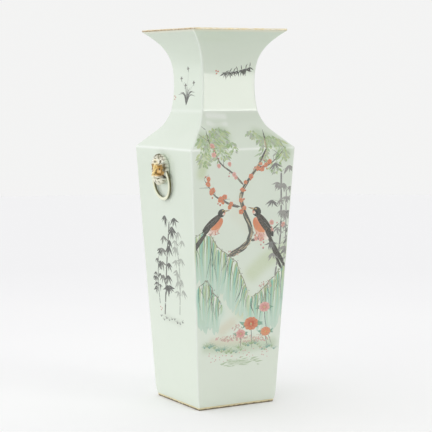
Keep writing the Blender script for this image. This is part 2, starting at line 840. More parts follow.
class Touch(Enum):
    """How a stroke's width runs from its start to its end."""

    LINE = "thin at both ends"
    POINT = "full at once, then drawn out to a point"
    LEAF = "swells early, then runs to a tip"
    EVEN = "full from end to end"
    DAB = "an oval"

    def swell(self, t: Array) -> Array:
        """The share of the full width at each share of the length."""
        rise = np.clip(t / 0.08, 0, 1) ** 0.5
        curves = {
            Touch.LINE: np.sin(math.pi * np.clip(t, 0, 1)) ** 0.6,
            Touch.POINT: rise * (1 - t) ** 0.7,
            Touch.LEAF: np.sin(math.pi * t**0.75) ** 1.1,
            Touch.EVEN: rise * np.clip((1 - t) / 0.08, 0, 1) ** 0.5,
            Touch.DAB: np.sqrt(np.clip(1 - (2 * t - 1) ** 2, 0, 1)),
        }
        return np.maximum(curves[self], 0.02)


@dataclass(frozen=True)
class Stroke:
    """One touch of the brush: a path in millimetres, its widths and its colours at both ends."""

    path: tuple
    widths: tuple[float, float]
    colours: tuple
    touch: Touch
    layer: int
    rim: tuple | None


def tint(colour: tuple, strength: float) -> tuple:
    """A colour laid on with the given strength."""
    return (*colour[:3], strength)


INK = linear(40, 36, 34)
SOFT_INK = linear(96, 94, 88)
BARK = linear(92, 78, 66)
MOSSY_EDGE = linear(104, 88, 66)
FEATHER_BROWN = linear(70, 56, 50)
BREAST_ORANGE = linear(216, 116, 62)
IRON_RED = linear(198, 88, 52)
ORANGE = linear(226, 142, 88)
PINK = linear(236, 190, 180)
DEEP_PINK = linear(206, 126, 120)
ROSE = linear(196, 150, 136)
DULL_ROSE = linear(180, 140, 120)
TURQUOISE = linear(126, 196, 174)
DEEP_TURQUOISE = linear(74, 146, 128)
LEAF_GREEN = linear(140, 170, 108)
YELLOW_GREEN = linear(180, 196, 132)
OLIVE = linear(128, 134, 112)
OCHRE = linear(206, 176, 130)
GREY = linear(104, 100, 102)
PALE_GREY = linear(138, 134, 132)
CHALK = linear(244, 242, 232)
PALE_SHINE = linear(244, 248, 242)
CREAM_EDGE = linear(236, 230, 208)
YELLOW = linear(228, 196, 100)

WET_INK = tint(INK, 0.95)
BERRY_RED = tint(IRON_RED, 0.9)
RED_PETALS = (tint(ORANGE, 0.9), tint(IRON_RED, 0.95), tint(IRON_RED, 0.95))
PINK_PETALS = (tint(PINK, 0.9), tint(DEEP_PINK, 0.9), tint(DEEP_PINK, 0.9))
ROSY_PETALS = (*PINK_PETALS[:2], tint(DEEP_PINK, 0.95))
ORANGE_PETALS = (tint(ORANGE, 0.8), tint(ORANGE, 0.95), tint(IRON_RED, 0.95))
ROCK_HUES = (tint(TURQUOISE, 0.95), tint(YELLOW_GREEN, 0.9), tint(TURQUOISE, 0.3))


@dataclass
class Brush:
    """Gathers the strokes of one painted piece and lays them on one side of the vase. Its seeded
    dice vary them.

    Each stroke becomes a thin closed relief. Its section has five points: both edges, sunk below
    the glaze, and a low flat crown. Both ends close in a point."""

    form: VaseForm
    side: Side
    name: str
    dice: Dice
    steps: int = 14
    sink: float = 0.06
    proud: float = 0.035
    layer_step: float = 0.012
    strokes: list[Stroke] = field(default_factory=list)

    def stroke(self, path: tuple, width: float | tuple[float, float], colour: tuple,
               end: tuple | None = None, touch: Touch = Touch.LINE, layer: int = 2,
               rim: tuple | None = None) -> None:
        """Adds one stroke.

        Args:
            path: two or more points, across and up, in millimetres.
            width: the full width, or its values at the start and the end.
            colour: the colour at the start.
            end: the colour at the end, if it differs.
            touch: how the width runs.
            layer: what it lies on: a higher layer covers a lower one.
            rim: the colour of its edges, if they differ.
        """
        widths = width if isinstance(width, tuple) else (width, width)
        self.strokes.append(Stroke(tuple(path), widths, (colour, end or colour), touch, layer, rim))

    def _lines(self) -> tuple[Array, Array]:
        """All centrelines and half-widths, as arrays of strokes by steps."""
        t = np.linspace(0, 1, self.steps)
        lines = np.stack([through(s.path, self.steps) for s in self.strokes])
        ends = np.array([s.widths for s in self.strokes])
        swell = np.stack([s.touch.swell(t) for s in self.strokes])
        half = 0.5 * (ends[:, :1] * (1 - t) + ends[:, 1:] * t) * swell
        return lines, half

    def _colours(self) -> Array:
        """Colours of strokes by steps by section points: a run from start to end, with the rim's
        colour at the edges."""
        t = np.linspace(0, 1, self.steps)[None, :, None, None]
        first, last = (np.array([s.colours[k] for s in self.strokes])[:, None, None, :] for k in (0, 1))
        crown = first * (1 - t) + last * t
        crown = np.repeat(crown, 5, axis=2)
        rim = np.array([s.rim or (0, 0, 0, 0) for s in self.strokes])[:, None, None, :]
        has_rim = np.array([s.rim is not None for s in self.strokes])[:, None, None, None]
        edge = np.array([1.0, 0.55, 0.0, 0.55, 1.0])[None, None, :, None] * has_rim
        return crown * (1 - edge) + rim * edge

    def _points(self, lines: Array, half: Array) -> Array:
        """Section points on the panel: the centreline, plus its left-hand normal times the
        half-width times -1, -0.8, 0, 0.8 and 1, lifted by the crown over the three middle ones."""
        along = np.gradient(lines, axis=1)
        along /= np.maximum(np.linalg.norm(along, axis=-1, keepdims=True), 1e-9)
        sideways = np.stack([-along[..., 1], along[..., 0]], axis=-1)
        across = np.array([-1.0, -0.8, 0.0, 0.8, 1.0])
        flat = lines[:, :, None, :] + sideways[:, :, None, :] * (half[:, :, None] * across)[..., None]
        layers = np.array([s.layer for s in self.strokes])[:, None, None]
        order = np.arange(len(self.strokes))[:, None, None] / max(1, len(self.strokes))
        crown = self.proud + self.layer_step * (layers + 0.8 * order)
        lift = -self.sink + (self.sink + crown) * np.array([0.0, 0.85, 1.0, 0.85, 0.0])
        lift = np.broadcast_to(lift, flat.shape[:3])
        return np.concatenate([flat, lift[..., None]], axis=-1)

    def _on_panel(self, flat: Array) -> Array:
        """Takes across, up and lift, in millimetres, to points on this side of the vase."""
        across, up, lift = (flat[..., k] * MM for k in range(3))
        slope = self.form.slope(up)
        length = np.sqrt(1 + slope**2)
        out = self.form.half_width(up) + lift / length
        rim = self.form.half_width(up) - self.form.corner_radius
        points = np.stack([np.clip(across, -rim, rim), -out, up - lift * slope / length], axis=-1)
        return self.side.turn(points)

    def lay(self, material: Material) -> Piece:
        """Makes the painted piece.

        Args:
            material: the enamel.

        Returns:
            The piece, riding with the vase.
        """
        lines, half = self._lines()
        section = self._points(lines, half)
        count, steps, around = section.shape[:3]
        poles = np.concatenate([lines[:, [0, -1]], np.full((count, 2, 1), -self.sink)], axis=-1)
        flat = np.concatenate([section.reshape(count, -1, 3), poles], axis=1)
        first_pole, last_ring = steps * around, (steps - 1) * around
        quads = closed_grid(steps, around, False, True)[:, ::-1]
        caps = np.concatenate([fan(0, around, first_pole),
                               fan(last_ring, around, first_pole + 1)[:, ::-1]])
        shift = (np.arange(count) * (first_pole + 2))[:, None, None]
        faces = [*(quads + shift).reshape(-1, 4).tolist(), *(caps + shift).reshape(-1, 3).tolist()]
        piece = make_object(f"{self.side.label}_{self.name}", self._on_panel(flat).reshape(-1, 3), faces)
        colours = self._colours()
        ends = np.stack([colours[:, 0, 0], colours[:, -1, 0]], axis=1)
        colours = np.concatenate([colours.reshape(count, -1, 4), ends], axis=1)
        add_colours(piece, "paint", colours.reshape(-1, 4))
        LOG.info("painted %s, %d strokes", piece.name, count)
        return finish(piece, material)


@dataclass
class Painter(Brush):
    """A brush that knows the motifs: each method adds the strokes of one motif. Places and
    sizes are in millimetres on the panel, and angles in radians, anticlockwise from across."""

    def _wander(self, path: tuple, steps: int, amount: float) -> Array:
        """A smooth curve through points that strays from it by a random walk of the given size."""
        line = through(path, steps)
        stray = self.dice.normal(0, amount, line.shape)
        stray[0] = stray[-1] = 0
        return line + stray

    def limb(self, path: tuple, thick: float, thin: float) -> None:
        """A gnarled limb: a dark body, broken ink edges, and bark marks along it.

        Args:
            path: points along it.
            thick: its width at the start.
            thin: its width at the end.
        """
        line = self._wander(path, 10, thick * 0.10)
        self.stroke(line, (thick, thin), tint(BARK, 0.9), tint(INK, 0.9), Touch.EVEN, 2, WET_INK)
        fine = through(line, 60)
        along = np.gradient(fine, axis=0)
        along /= np.linalg.norm(along, axis=1, keepdims=True)
        normal = np.stack([-along[:, 1], along[:, 0]], axis=1)
        width = np.linspace(thick, thin, 60)[:, None]
        marks = int(len(path) * 7 * max(0.4, thick / 6))
        for k in self.dice.integers(3, 52, marks):
            side = self.dice.uniform(-0.42, 0.42)
            mark = fine[k:k + 6:2] + normal[k:k + 6:2] * width[k] * side
            tone = tint(INK, 0.9) if self.dice.random() < 0.7 else tint(OCHRE, 0.7)
            self.stroke(mark, 0.10 * thick + 0.15, tone, layer=3)
        for k in self.dice.integers(4, 55, max(2, marks // 3)):
            spot = fine[k] + normal[k] * width[k] * self.dice.uniform(-0.55, 0.55)
            self.dot(spot, self.dice.uniform(0.5, 0.9), tint(DEEP_TURQUOISE, 0.9))

    def dot(self, place: tuple, size: float, colour: tuple, layer: int = 4) -> None:
        """A round dot of the given width."""
        x, z = place
        self.stroke(((x - size / 2, z), (x + size / 2, z)), size, colour, touch=Touch.DAB, layer=layer)

    def berries(self, places: tuple, size: float, colour: tuple = BERRY_RED) -> None:
        """Red berries of one size at several places."""
        for place in places:
            self.dot(place, size, colour, 6)

    def twig(self, start: tuple, angle: float, length: float, width: float = 0.9) -> Array:
        """A thin twig that bends as it grows.

        Args:
            start: its root.
            angle: the way it sets out.
            length: its length.
            width: its width at the root.

        Returns:
            The points along it.
        """
        turn = self.dice.uniform(-0.5, 0.5)
        way = angle + turn * np.linspace(0, 1, 4)
        steps = np.stack([np.cos(way), np.sin(way)], axis=1) * length / 4
        path = np.vstack([[start], np.array(start) + np.cumsum(steps, axis=0)])
        self.stroke(path, (width, width * 0.4), tint(INK, 0.92), touch=Touch.EVEN, layer=2)
        return path

    def blossom(self, place: tuple, size: float, petal: tuple, heart: tuple, rim: tuple) -> None:
        """A five-petalled blossom seen a little from one side, with stamens.

        Args:
            place: its middle.
            size: the length of a petal.
            petal: the colour at a petal's tip.
            heart: the colour at its root.
            rim: the colour of its edge.
        """
        centre, turn = np.array(place), self.dice.uniform(0, 2 * math.pi)
        squash = self.dice.uniform(0.7, 1.0)
        c, s = heading(self.dice.uniform(0, math.pi))
        for k in range(5):
            reach = heading(turn + k * 2 * math.pi / 5)
            flat = np.array([reach @ (c, s), (reach @ (-s, c)) * squash])
            way = np.array([flat[0] * c - flat[1] * s, flat[0] * s + flat[1] * c])
            self.stroke((centre + way * size * 0.10, centre + way * size), size * 0.98, heart, petal,
                        Touch.DAB, 4, rim)
        for angle in self.dice.uniform(0, 2 * math.pi, 6):
            tip = centre + heading(angle) * size * self.dice.uniform(0.35, 0.6)
            self.stroke((centre, tip), 0.22, BERRY_RED, layer=6)
            self.dot(tip, 0.45, tint(YELLOW, 0.95), 7)
        self.dot(place, size * 0.28, tint(YELLOW_GREEN, 0.95), 7)

    def bud(self, place: tuple, size: float, colour: tuple) -> None:
        """A round bud with a dark calyx under it."""
        x, z = place
        self.dot(place, size, colour)
        calyx = ((x - size * 0.4, z - size * 0.3), (x, z - size * 0.5), (x + size * 0.4, z - size * 0.3))
        self.stroke(calyx, size * 0.3, tint(BARK, 0.9), layer=5)

    def blossoming(self, path: tuple, count: int, size: float, colours: tuple) -> None:
        """Sets blossoms and buds along a branch, on both sides of it.

        Args:
            path: points along the branch.
            count: how many blossoms, and how many buds.
            size: the length of a petal.
            colours: the petal's tip, its root and its edge.
        """
        line = through(path, 40)
        for k in np.linspace(8, 38, count).astype(int):
            place = line[k] + self.dice.normal(0, size * 0.75, 2)
            self.blossom(place, size * self.dice.uniform(0.75, 1.1), *colours)
        for k in self.dice.integers(14, 40, count):
            place = line[k] + self.dice.normal(0, size * 1.25, 2)
            self.bud(place, size * self.dice.uniform(0.45, 0.7), colours[1])

    def leaf(self, place: tuple, angle: float, length: float, colour: tuple,
             tip: tuple, vein: tuple | None = None, slim: float = 0.3, layer: int = 3) -> None:
        """A leaf that curls a little.

        Args:
            place: its root.
            angle: the way it points.
            length: its length.
            colour: the colour at its root.
            tip: the colour at its tip.
            vein: the colour of its midrib and edge, or None for a plain leaf.
            slim: its width over its length.
            layer: what it lies on.
        """
        curl = self.dice.uniform(-0.35, 0.35)
        reach = np.array([[0, 0], [0.5, 0.25 * curl], [1, curl]]) * length
        c, s = heading(angle)
        path = np.array(place) + reach @ np.array([[c, s], [-s, c]])
        self.stroke(path, length * slim, colour, tip, Touch.LEAF, layer, vein and tint(vein, 0.8))
        if vein is not None:
            self.stroke(path[:2] * 0.98 + path[1:] * 0.02, 0.25, tint(vein, 0.9), layer=layer + 1)

    def peony(self, place: tuple, size: float, colours: tuple) -> None:
        """A full peony: three rings of round petals, each deeper in colour, round a gold heart.

        Args:
            place: its middle.
            size: its radius.
            colours: the pale outer petals, the deep inner ones and their edges.
        """
        centre = np.array(place)
        pale, deep, rim = colours
        for ring, (count, reach) in enumerate(((9, 1.0), (8, 0.72), (6, 0.45))):
            turn = self.dice.uniform(0, 2 * math.pi)
            tone = tuple(mixed(np.array(pale), np.array(deep), ring / 2))
            for k in range(count):
                angle = turn + k * 2 * math.pi / count
                way = np.array([math.cos(angle), 0.78 * math.sin(angle) + 0.05])
                self.stroke((centre + way * size * reach * 0.25, centre + way * size * reach),
                            size * 0.62 * (reach + 0.25), deep, tone, Touch.DAB, 3 + ring, rim)
        for angle in self.dice.uniform(0, 2 * math.pi, 9):
            spot = centre + heading(angle) * size * self.dice.uniform(0.03, 0.18)
            self.dot(spot, size * 0.09, tint(YELLOW, 0.95), 7)

    def foliage(self, place: tuple, reach: tuple, count: int, size: float,
                tones: tuple, layer: int = 1) -> None:
        """A soft mass of leaves: short dabs that point outward and down from its middle, thinner
        towards its ragged edge.

        Args:
            place: its middle.
            reach: how far it spreads, across and up.
            count: how many leaves.
            size: the length of a leaf.
            tones: the colours that the leaves take at random.
            layer: what it lies on.
        """
        for _ in range(count):
            angle, far = self.dice.uniform(0, 2 * math.pi), self.dice.uniform(0.05, 1.0) ** 0.6
            way = heading(angle)
            start = np.array(place) + way * far * np.array(reach)
            length = size * self.dice.uniform(0.6, 1.2)
            lean = np.array([way[0] * 0.8 + self.dice.normal(0, 0.3), -0.75])
            tone = tones[int(self.dice.integers(len(tones)))]
            width = size * self.dice.uniform(0.35, 0.6)
            self.stroke((start, start + lean * length), width, tone, touch=Touch.LEAF, layer=layer)

    def cliff(self, crest: tuple, foot: tuple, count: int) -> None:
        """A rock face: broad overlapping falls of colour between its crest and its foot, ink
        folds that split at the crest, and moss along it.

        Args:
            crest: points along its top.
            foot: points along its lower edge.
            count: how many falls.
        """
        top, low = self._wander(crest, count, 1.2), through(foot, count)
        for k in range(count):
            lean = np.array([4.0 * math.sin(k * 0.55) + self.dice.normal(0, 1.5), 0.0])
            end = low[k] + lean + np.array([0, self.dice.uniform(-8, 13)])
            path = (top[k], (top[k] + end) / 2 - lean * 0.9, end)
            tone = tint(CHALK, 0.6) if k % 4 == 2 else ROCK_HUES[k % 2]
            self.stroke(path, (6.0, 6.5), tone, ROCK_HUES[2], Touch.EVEN, 0)
        for k in range(count - 1):
            drop = (low[k] - top[k]) * self.dice.uniform(0.25, 0.8)
            side = np.array([4.0 * math.sin(k * 0.55 + 0.3) + self.dice.normal(0, 1.2), 0.0])
            path = (top[k], top[k] + drop * 0.5 - side * 0.7, top[k] + drop + side * 0.6)
            ink = tint(SOFT_INK if k % 3 else DEEP_TURQUOISE, 0.95)
            self.stroke(self._wander(path, 5, 0.3), self.dice.uniform(0.6, 1.2), ink, layer=2)
        self.stroke(top, 1.0, tint(MOSSY_EDGE, 0.9), touch=Touch.EVEN, layer=3)
        for k in self.dice.integers(0, count, count * 2):
            place = top[k] + self.dice.normal(0, 1.3, 2)
            self.dot(place, self.dice.uniform(0.8, 1.9), tint(OLIVE, 0.9))

    def tuft(self, place: tuple, size: float, colour: tuple, count: int = 7) -> None:
        """A tuft of grass that fans out from its root.

        Args:
            place: its root.
            size: the length of its longest blade.
            colour: its colour.
            count: how many blades.
        """
        root = np.array(place)
        for angle in np.linspace(-0.9, 0.9, count) + self.dice.normal(0, 0.1, count):
            length = size * self.dice.uniform(0.6, 1.0)
            blade = np.array([math.sin(angle), math.cos(angle)]) * length
            bend = np.array([0.25 * math.sin(angle), -0.12]) * length
            self.stroke((root, root + blade * 0.55, root + blade + bend), size * 0.07 + 0.15, colour,
                        touch=Touch.POINT, layer=3)

    def bamboo(self, path: tuple, width: float, dark: tuple, pale: tuple, leaf: float,
               leaves: int) -> None:
        """A bamboo stem of straight joints, with twigs and groups of hanging leaves.

        Args:
            path: points along the stem.
            width: the stem's width.
            dark: the ink of its edges and of most leaves.
            pale: the ink of its body and of the other leaves.
            leaf: the length of a leaf.
            leaves: how many leaves hang from one twig.
        """
        joints = through(path, 9)
        knot = width * 0.65
        for low, high in zip(joints[:-1], joints[1:]):
            gap = (high - low) * 0.04
            self.stroke((low + gap, high - gap), width, pale, dark, Touch.EVEN, 1, dark)
            self.stroke((high + (-knot, 0), high + (0, -0.5), high + (knot, 0)), 0.4 + width * 0.12,
                        dark, layer=3)
        for k in range(2, 9):
            for _ in range(2):
                side = self.dice.choice([-1, 1])
                angle = math.pi / 2 - side * self.dice.uniform(0.5, 1.1)
                tip = self.twig(joints[k], angle, leaf * self.dice.uniform(0.5, 1.3), 0.45)[-1]
                self.bamboo_leaves(tip, leaf, dark if self.dice.random() < 0.65 else pale, leaves)

    def bamboo_leaves(self, place: tuple, length: float, colour: tuple, count: int) -> None:
        """Pointed leaves that hang from one spot and spread like fingers.

        Args:
            place: the spot.
            length: the length of a leaf.
            colour: their ink.
            count: how many leaves.
        """
        for angle in np.linspace(-2.5, -0.7, count) + self.dice.normal(0, 0.12, count):
            long = length * self.dice.uniform(0.65, 1.1)
            self.leaf(place, angle, long, colour, colour, slim=0.22)

    def orchid(self, place: tuple, size: float, dark: tuple, pale: tuple) -> None:
        """Arching orchid leaves from one root, with four pale flowers on thin stalks.

        Args:
            place: its root.
            size: the length of its longest leaf.
            dark: the ink of its leaves.
            pale: the ink of its stalks and flowers.
        """
        root = np.array(place)
        for k, lean in enumerate((-0.9, -0.7, -0.45, -0.2, 0.1, 0.3, 0.55, 0.75, 0.95)):
            length = size * self.dice.uniform(0.75, 1.05) * (1.0 if k % 2 else 0.8)
            tip = root + np.array([lean * length, length * (0.95 - 0.5 * abs(lean))])
            middle = root + np.array([lean * length * 0.35, length * (0.62 - 0.1 * abs(lean))])
            self.stroke((root, middle, tip), size * 0.035 + 0.35, dark, touch=Touch.LEAF, layer=3)
        for lean, high in ((-0.4, 0.95), (0.15, 1.3), (0.5, 0.8), (-0.1, 0.7)):
            head = root + np.array([lean, high]) * size
            bend = root + np.array([lean * 0.3, high * 0.55]) * size
            self.stroke((root, bend, head), 0.35, pale, layer=2)
            for angle in (0.3, 1.2, 2.0, 3.0, 4.6):
                tip = head + heading(angle) * size * 0.11
                self.stroke((head, tip), size * 0.045, pale, dark, Touch.LEAF, 4)
            self.dot(head, 0.7, BERRY_RED, 6)

    def bird(self, place: tuple, facing: int, turn: float, scale: float) -> None:
        """A long-tailed bird with a dark back and an orange breast, perched at a place.

        Args:
            place: its feet.
            facing: 1 if it looks right, -1 if it looks left.
            turn: how far it leans back.
            scale: its size over a length of 60 mm.
        """
        c, s = heading(turn)

        def at(*points: tuple) -> Array:
            """Places points of the bird's own frame on the panel."""
            p = np.array(points, dtype=float) * scale
            return np.array(place) + np.stack([(p[:, 0] * c - p[:, 1] * s) * facing,
                                               p[:, 0] * s + p[:, 1] * c], axis=1)

        dark, brown = tint(INK, 0.97), tint(FEATHER_BROWN, 0.97)
        breast, pale = tint(BREAST_ORANGE, 0.95), tint(CHALK, 0.95)
        for low, far in ((-4.5, -40), (-2.5, -43), (-0.5, -38)):
            tail = at((-9, 6 + low * 0.3), (-24, low - 2), (far, low * 1.8 - 9))
            self.stroke(tail, (2.6 * scale, 3.4 * scale), brown, dark, Touch.EVEN, 2, tint(SOFT_INK, 0.9))
        masses = (
            (((-12, 3.5), (0, 5.5), (13, 14)), 14, pale, breast, 3),
            (((-4, 5.5), (6, 7.5), (14, 13)), 9, tint(ORANGE, 0.9), breast, 4),
            (((-15, 6.5), (0, 12.5), (14, 18)), 9.5, dark, brown, 5),
            (((9.5, 18), (19.5, 20.5)), 10, dark, dark, 6),
            (((15, 17), (19, 18)), 4, pale, breast, 7),
        )
        for path, width, start, end, layer in masses:
            self.stroke(at(*path), width * scale, start, end, Touch.DAB, layer)
        self.stroke(at((18.5, 20.2), (25.5, 18.6)), 2.6 * scale, tint(OCHRE, 0.95), dark, Touch.POINT, 7)
        self.dot(at((17, 21.2))[0], 1.9 * scale, tint(YELLOW, 0.95), 7)
        self.dot(at((17.1, 21.2))[0], 1.0 * scale, dark, 8)
        for k in range(6):
            start, end = (7 - k * 1.6, 14.2 - k * 0.8), (-12 - k * 1.2, 9.4 - k * 1.7)
            middle = ((start[0] + end[0]) / 2, (start[1] + end[1]) / 2 - 1.2)
            self.stroke(at(start, middle, end), 2.7 * scale, brown, dark, Touch.LEAF, 6,
                        tint(SOFT_INK, 0.95))
        for k in range(26):
            x, z = self.dice.uniform(-6, 12), self.dice.uniform(0, 1)
            low = 0.5 + 0.35 * x + z * 5.5
            self.stroke(at((x, low + 1.5), (x - 2.2, low)), 0.4 * scale, tint(IRON_RED, 0.8), layer=6)
        for k in range(16):
            x = self.dice.uniform(-10, 10)
            self.stroke(at((x, 14 + 0.28 * x), (x - 2.4, 12.6 + 0.28 * x)), 0.45 * scale,
                        tint(SOFT_INK, 0.9), layer=7)
        for x in (0.5, 4.0):
            self.stroke(at((x + 0.5, 2.5), (x, -1.5)), 0.9 * scale, BERRY_RED, touch=Touch.EVEN, layer=4)
            for toe in (-1.8, 0.2, 2.0):
                self.stroke(at((x, -1.0), (x + toe, -2.6)), 0.6 * scale, BERRY_RED, layer=4)


@dataclass
class Decoration:
    """The painted scenes: a blossoming plum tree with two birds over rocky banks and peonies on
    the front, ink bamboo on the flanks, ink sprigs on the neck, and a plain plum bough behind."""

    form: VaseForm
    enamel: Material

    @staticmethod
    def washes() -> dict[Side, list[Wash]]:
        """The soft colours under the line work, for each side."""
        front = [
            Wash(((-56, 96), (-8, 90), (58, 94)), 9, LEAF_GREEN, 0.34),
            Wash(((-46, 104), (22, 101)), 7, OCHRE, 0.28),
            Wash(((-16, 70), (14, 68)), 4.0, LEAF_GREEN, 0.35),
            Wash(((-40, 441), (-12, 439)), 4.5, PALE_SHINE, 0.7),
            Wash(((-42, 430), (-30, 426), (-12, 428)), 3.6, PALE_SHINE, 0.6),
            Wash(((-74, 238), (-44, 214), (-8, 176), (8, 150)), 16, YELLOW_GREEN, 0.6),
            Wash(((-66, 170), (-44, 150)), 15, TURQUOISE, 0.5),
            Wash(((30, 142), (54, 156), (72, 176)), 16, TURQUOISE, 0.5),
            Wash(((-60, 404), (-40, 398), (-26, 414)), 13, LEAF_GREEN, 0.5),
            Wash(((-72, 356), (-66, 384)), 8, YELLOW_GREEN, 0.5),
            Wash(((36, 410), (54, 402), (72, 384)), 11, LEAF_GREEN, 0.5),
            Wash(((20, 204), (44, 222), (76, 236)), 14, YELLOW_GREEN, 0.42),
            Wash(((-30, 120), (-14, 130)), 9, OCHRE, 0.3),
            Wash(((-10, 300), (34, 262)), 16, OCHRE, 0.12),
        ]
        back = [
            Wash(((-50, 96), (40, 90)), 9, LEAF_GREEN, 0.28),
            Wash(((34, 104), (36, 150)), 15, TURQUOISE, 0.32),
            Wash(((-40, 300), (10, 330)), 16, YELLOW_GREEN, 0.18),
        ]
        flank = [Wash(((-24, 132), (24, 128)), 6, OLIVE, 0.16)]
        mouth = Wash(((-82, 566), (82, 566)), 1.5, CREAM_EDGE, 0.6)
        sides = {Side.FRONT: front, Side.BACK: back, Side.LEFT: flank, Side.RIGHT: flank}
        return {side: [*washes, mouth] for side, washes in sides.items()}

    def _painter(self, dice: Dice, side: Side, name: str, steps: int = 14) -> Painter:
        """A painter of one piece, with strokes of the given steps."""
        return Painter(self.form, side, name, dice, steps)

    def front(self) -> None:
        """The painted front: the banks first, and what grows before them last."""
        dice = np.random.default_rng(7)
        self._banks(dice)
        self._leaf_masses(dice)
        self._tree(dice)
        birds = self._painter(dice, Side.FRONT, "pair_of_birds")
        birds.bird((30, 260), -1, 0.5, 1.55)
        birds.bird((-47, 268), 1, 0.3, 1.3)
        birds.lay(self.enamel)
        self._bamboo(dice)
        self._peonies(dice)
        self._grass(dice)

    def _banks(self, dice: Dice) -> None:
        """Rocky banks: a low one at the right, a tall one that falls from the left, and a small
        one before it."""
        banks = self._painter(dice, Side.FRONT, "rocky_banks")
        banks.cliff(((20, 168), (38, 178), (58, 196), (76, 214)),
                    ((18, 118), (38, 112), (56, 116), (74, 130)), 26)
        banks.cliff(((-81, 264), (-58, 270), (-40, 246), (-20, 232), (0, 204), (14, 172)),
                    ((-76, 196), (-58, 176), (-42, 172), (-24, 160), (-8, 146), (8, 132)), 40)
        banks.cliff(((-72, 190), (-58, 196), (-46, 178), (-34, 160)),
                    ((-70, 132), (-58, 118), (-46, 116), (-36, 126)), 20)
        banks.lay(self.enamel)

    def _leaf_masses(self, dice: Dice) -> None:
        """The soft foliage behind the tree: a middle, a reach and a count for each mass."""
        leaves = self._painter(dice, Side.FRONT, "leaf_masses", 8)
        greens = (tint(YELLOW_GREEN, 0.85), tint(LEAF_GREEN, 0.9), tint(LEAF_GREEN, 0.65), tint(OLIVE, 0.6))
        masses = (((-52, 402), (22, 12), 120), ((-30, 416), (14, 8), 60), ((-68, 380), (9, 15), 60),
                  ((-40, 384), (12, 9), 46), ((-18, 396), (6, 11), 26), ((50, 402), (20, 9), 110),
                  ((68, 384), (9, 12), 54), ((28, 412), (12, 6), 40), ((34, 384), (6, 16), 36),
                  ((56, 366), (8, 12), 30))
        for mass in masses:
            leaves.foliage(*mass, 7.0, greens)
        leaves.lay(self.enamel)

    def _tree(self, dice: Dice) -> None:
        """The plum tree, with its four boughs, their twigs, and the blossom on them."""
        trunk = ((-26, 232), (-6, 238), (14, 254), (15, 280), (-4, 306), (2, 336), (22, 362), (38, 392),
                 (48, 420))
        low = ((14, 254), (38, 258), (66, 278))
        left = ((-4, 306), (-28, 313), (-50, 326), (-68, 350))
        high = ((2, 336), (-18, 356), (-38, 370), (-54, 398), (-50, 420))
        right = ((22, 362), (46, 368), (70, 390))
        boughs = ((low, 5.0, 1.4), (left, 4.8, 1.0), (high, 3.6, 0.9), (right, 3.4, 0.9))
        tree = self._painter(dice, Side.FRONT, "plum_tree")
        for path, thick, thin in (*boughs, (trunk, 11.5, 2.4)):
            tree.limb(path, thick, thin)
        for path, *_ in boughs:
            for place in through(path, 12)[3::2]:
                tree.twig(place, dice.uniform(-0.6, 3.4), dice.uniform(8, 18))
        tree.lay(self.enamel)
        flowers = self._painter(dice, Side.FRONT, "plum_blossom")
        for path, count, size, colours in ((left, 9, 4.8, RED_PETALS), (low, 8, 4.6, PINK_PETALS),
                                           (high[:4], 6, 4.2, PINK_PETALS), (right[:2], 4, 4.4, RED_PETALS),
                                           (trunk[3:7], 7, 4.4, RED_PETALS)):
            flowers.blossoming(path, count, size, colours)
        flowers.lay(self.enamel)

    def _bamboo(self, dice: Dice) -> None:
        """Two grey bamboo stems at the right edge of the front."""
        bamboo = self._painter(dice, Side.FRONT, "grey_bamboo", 10)
        grey, pale = tint(GREY, 0.9), tint(PALE_GREY, 0.85)
        bamboo.bamboo(((60, 196), (68, 262), (66, 356)), 3.2, grey, pale, 15, 6)
        bamboo.bamboo(((72, 204), (77, 250), (76, 330)), 2.0, pale, pale, 12, 6)
        bamboo.lay(self.enamel)

    def _peonies(self, dice: Dice) -> None:
        """Four peonies, whose leaves and stalks come before all the flowers."""
        peonies = self._painter(dice, Side.FRONT, "peonies")
        plants = (((20, 126), 13, RED_PETALS), ((43, 150), 10, ROSY_PETALS), ((2, 112), 8.5, ROSY_PETALS),
                  ((46, 112), 9, ORANGE_PETALS))
        ground = 94
        for (x, z), size, _ in plants:
            for angle in np.linspace(0.2, 6.1, 9):
                root = np.array([x, z]) + heading(angle) * size * 0.5
                peonies.leaf(root, -angle, size * 1.15, tint(LEAF_GREEN, 0.9),
                             tint(DEEP_TURQUOISE, 0.8), DEEP_TURQUOISE, 0.42, 2)
            peonies.twig((x, z - size * 0.5), -1.45, z - ground, 1.2)
        for plant in plants:
            peonies.peony(*plant)
        peonies.lay(self.enamel)

    def _grass(self, dice: Dice) -> None:
        """The ground: rose-coloured bushes, tufts of grass, green strokes and fallen petals."""
        grass = self._painter(dice, Side.FRONT, "grass", 8)
        rose = (tint(ROSE, 0.8), tint(DULL_ROSE, 0.75), tint(DEEP_PINK, 0.6))
        bushes = (((-20, 108), (22, 5), 70), ((24, 104), (30, 6), 90), ((-4, 122), (7, 8), 30),
                  ((-14, 238), (10, 5), 26), ((44, 186), (10, 6), 26))
        for bush in bushes:
            grass.foliage(*bush, 3.6, rose, 2)
        for x in np.linspace(-60, 62, 30):
            z = 88 + 5 * math.sin(x * 0.09) + dice.normal(0, 2.5)
            tone = tint(LEAF_GREEN, 0.85) if dice.random() < 0.6 else tint(DEEP_TURQUOISE, 0.8)
            grass.tuft((x, z), dice.uniform(6, 12), tone)
        for _ in range(34):
            x, z = dice.uniform(-34, 34), 69 + dice.normal(0, 2.4)
            end = (x + dice.uniform(5, 13), z + dice.normal(0.6, 0.8))
            grass.stroke(((x, z), end), 1.5, tint(LEAF_GREEN, 0.6), touch=Touch.LEAF)
        for _ in range(46):
            place = (dice.uniform(-52, 52), 80 + dice.normal(0, 5))
            grass.dot(place, dice.uniform(0.9, 2.0), tint(DEEP_PINK, 0.8))
        grass.lay(self.enamel)

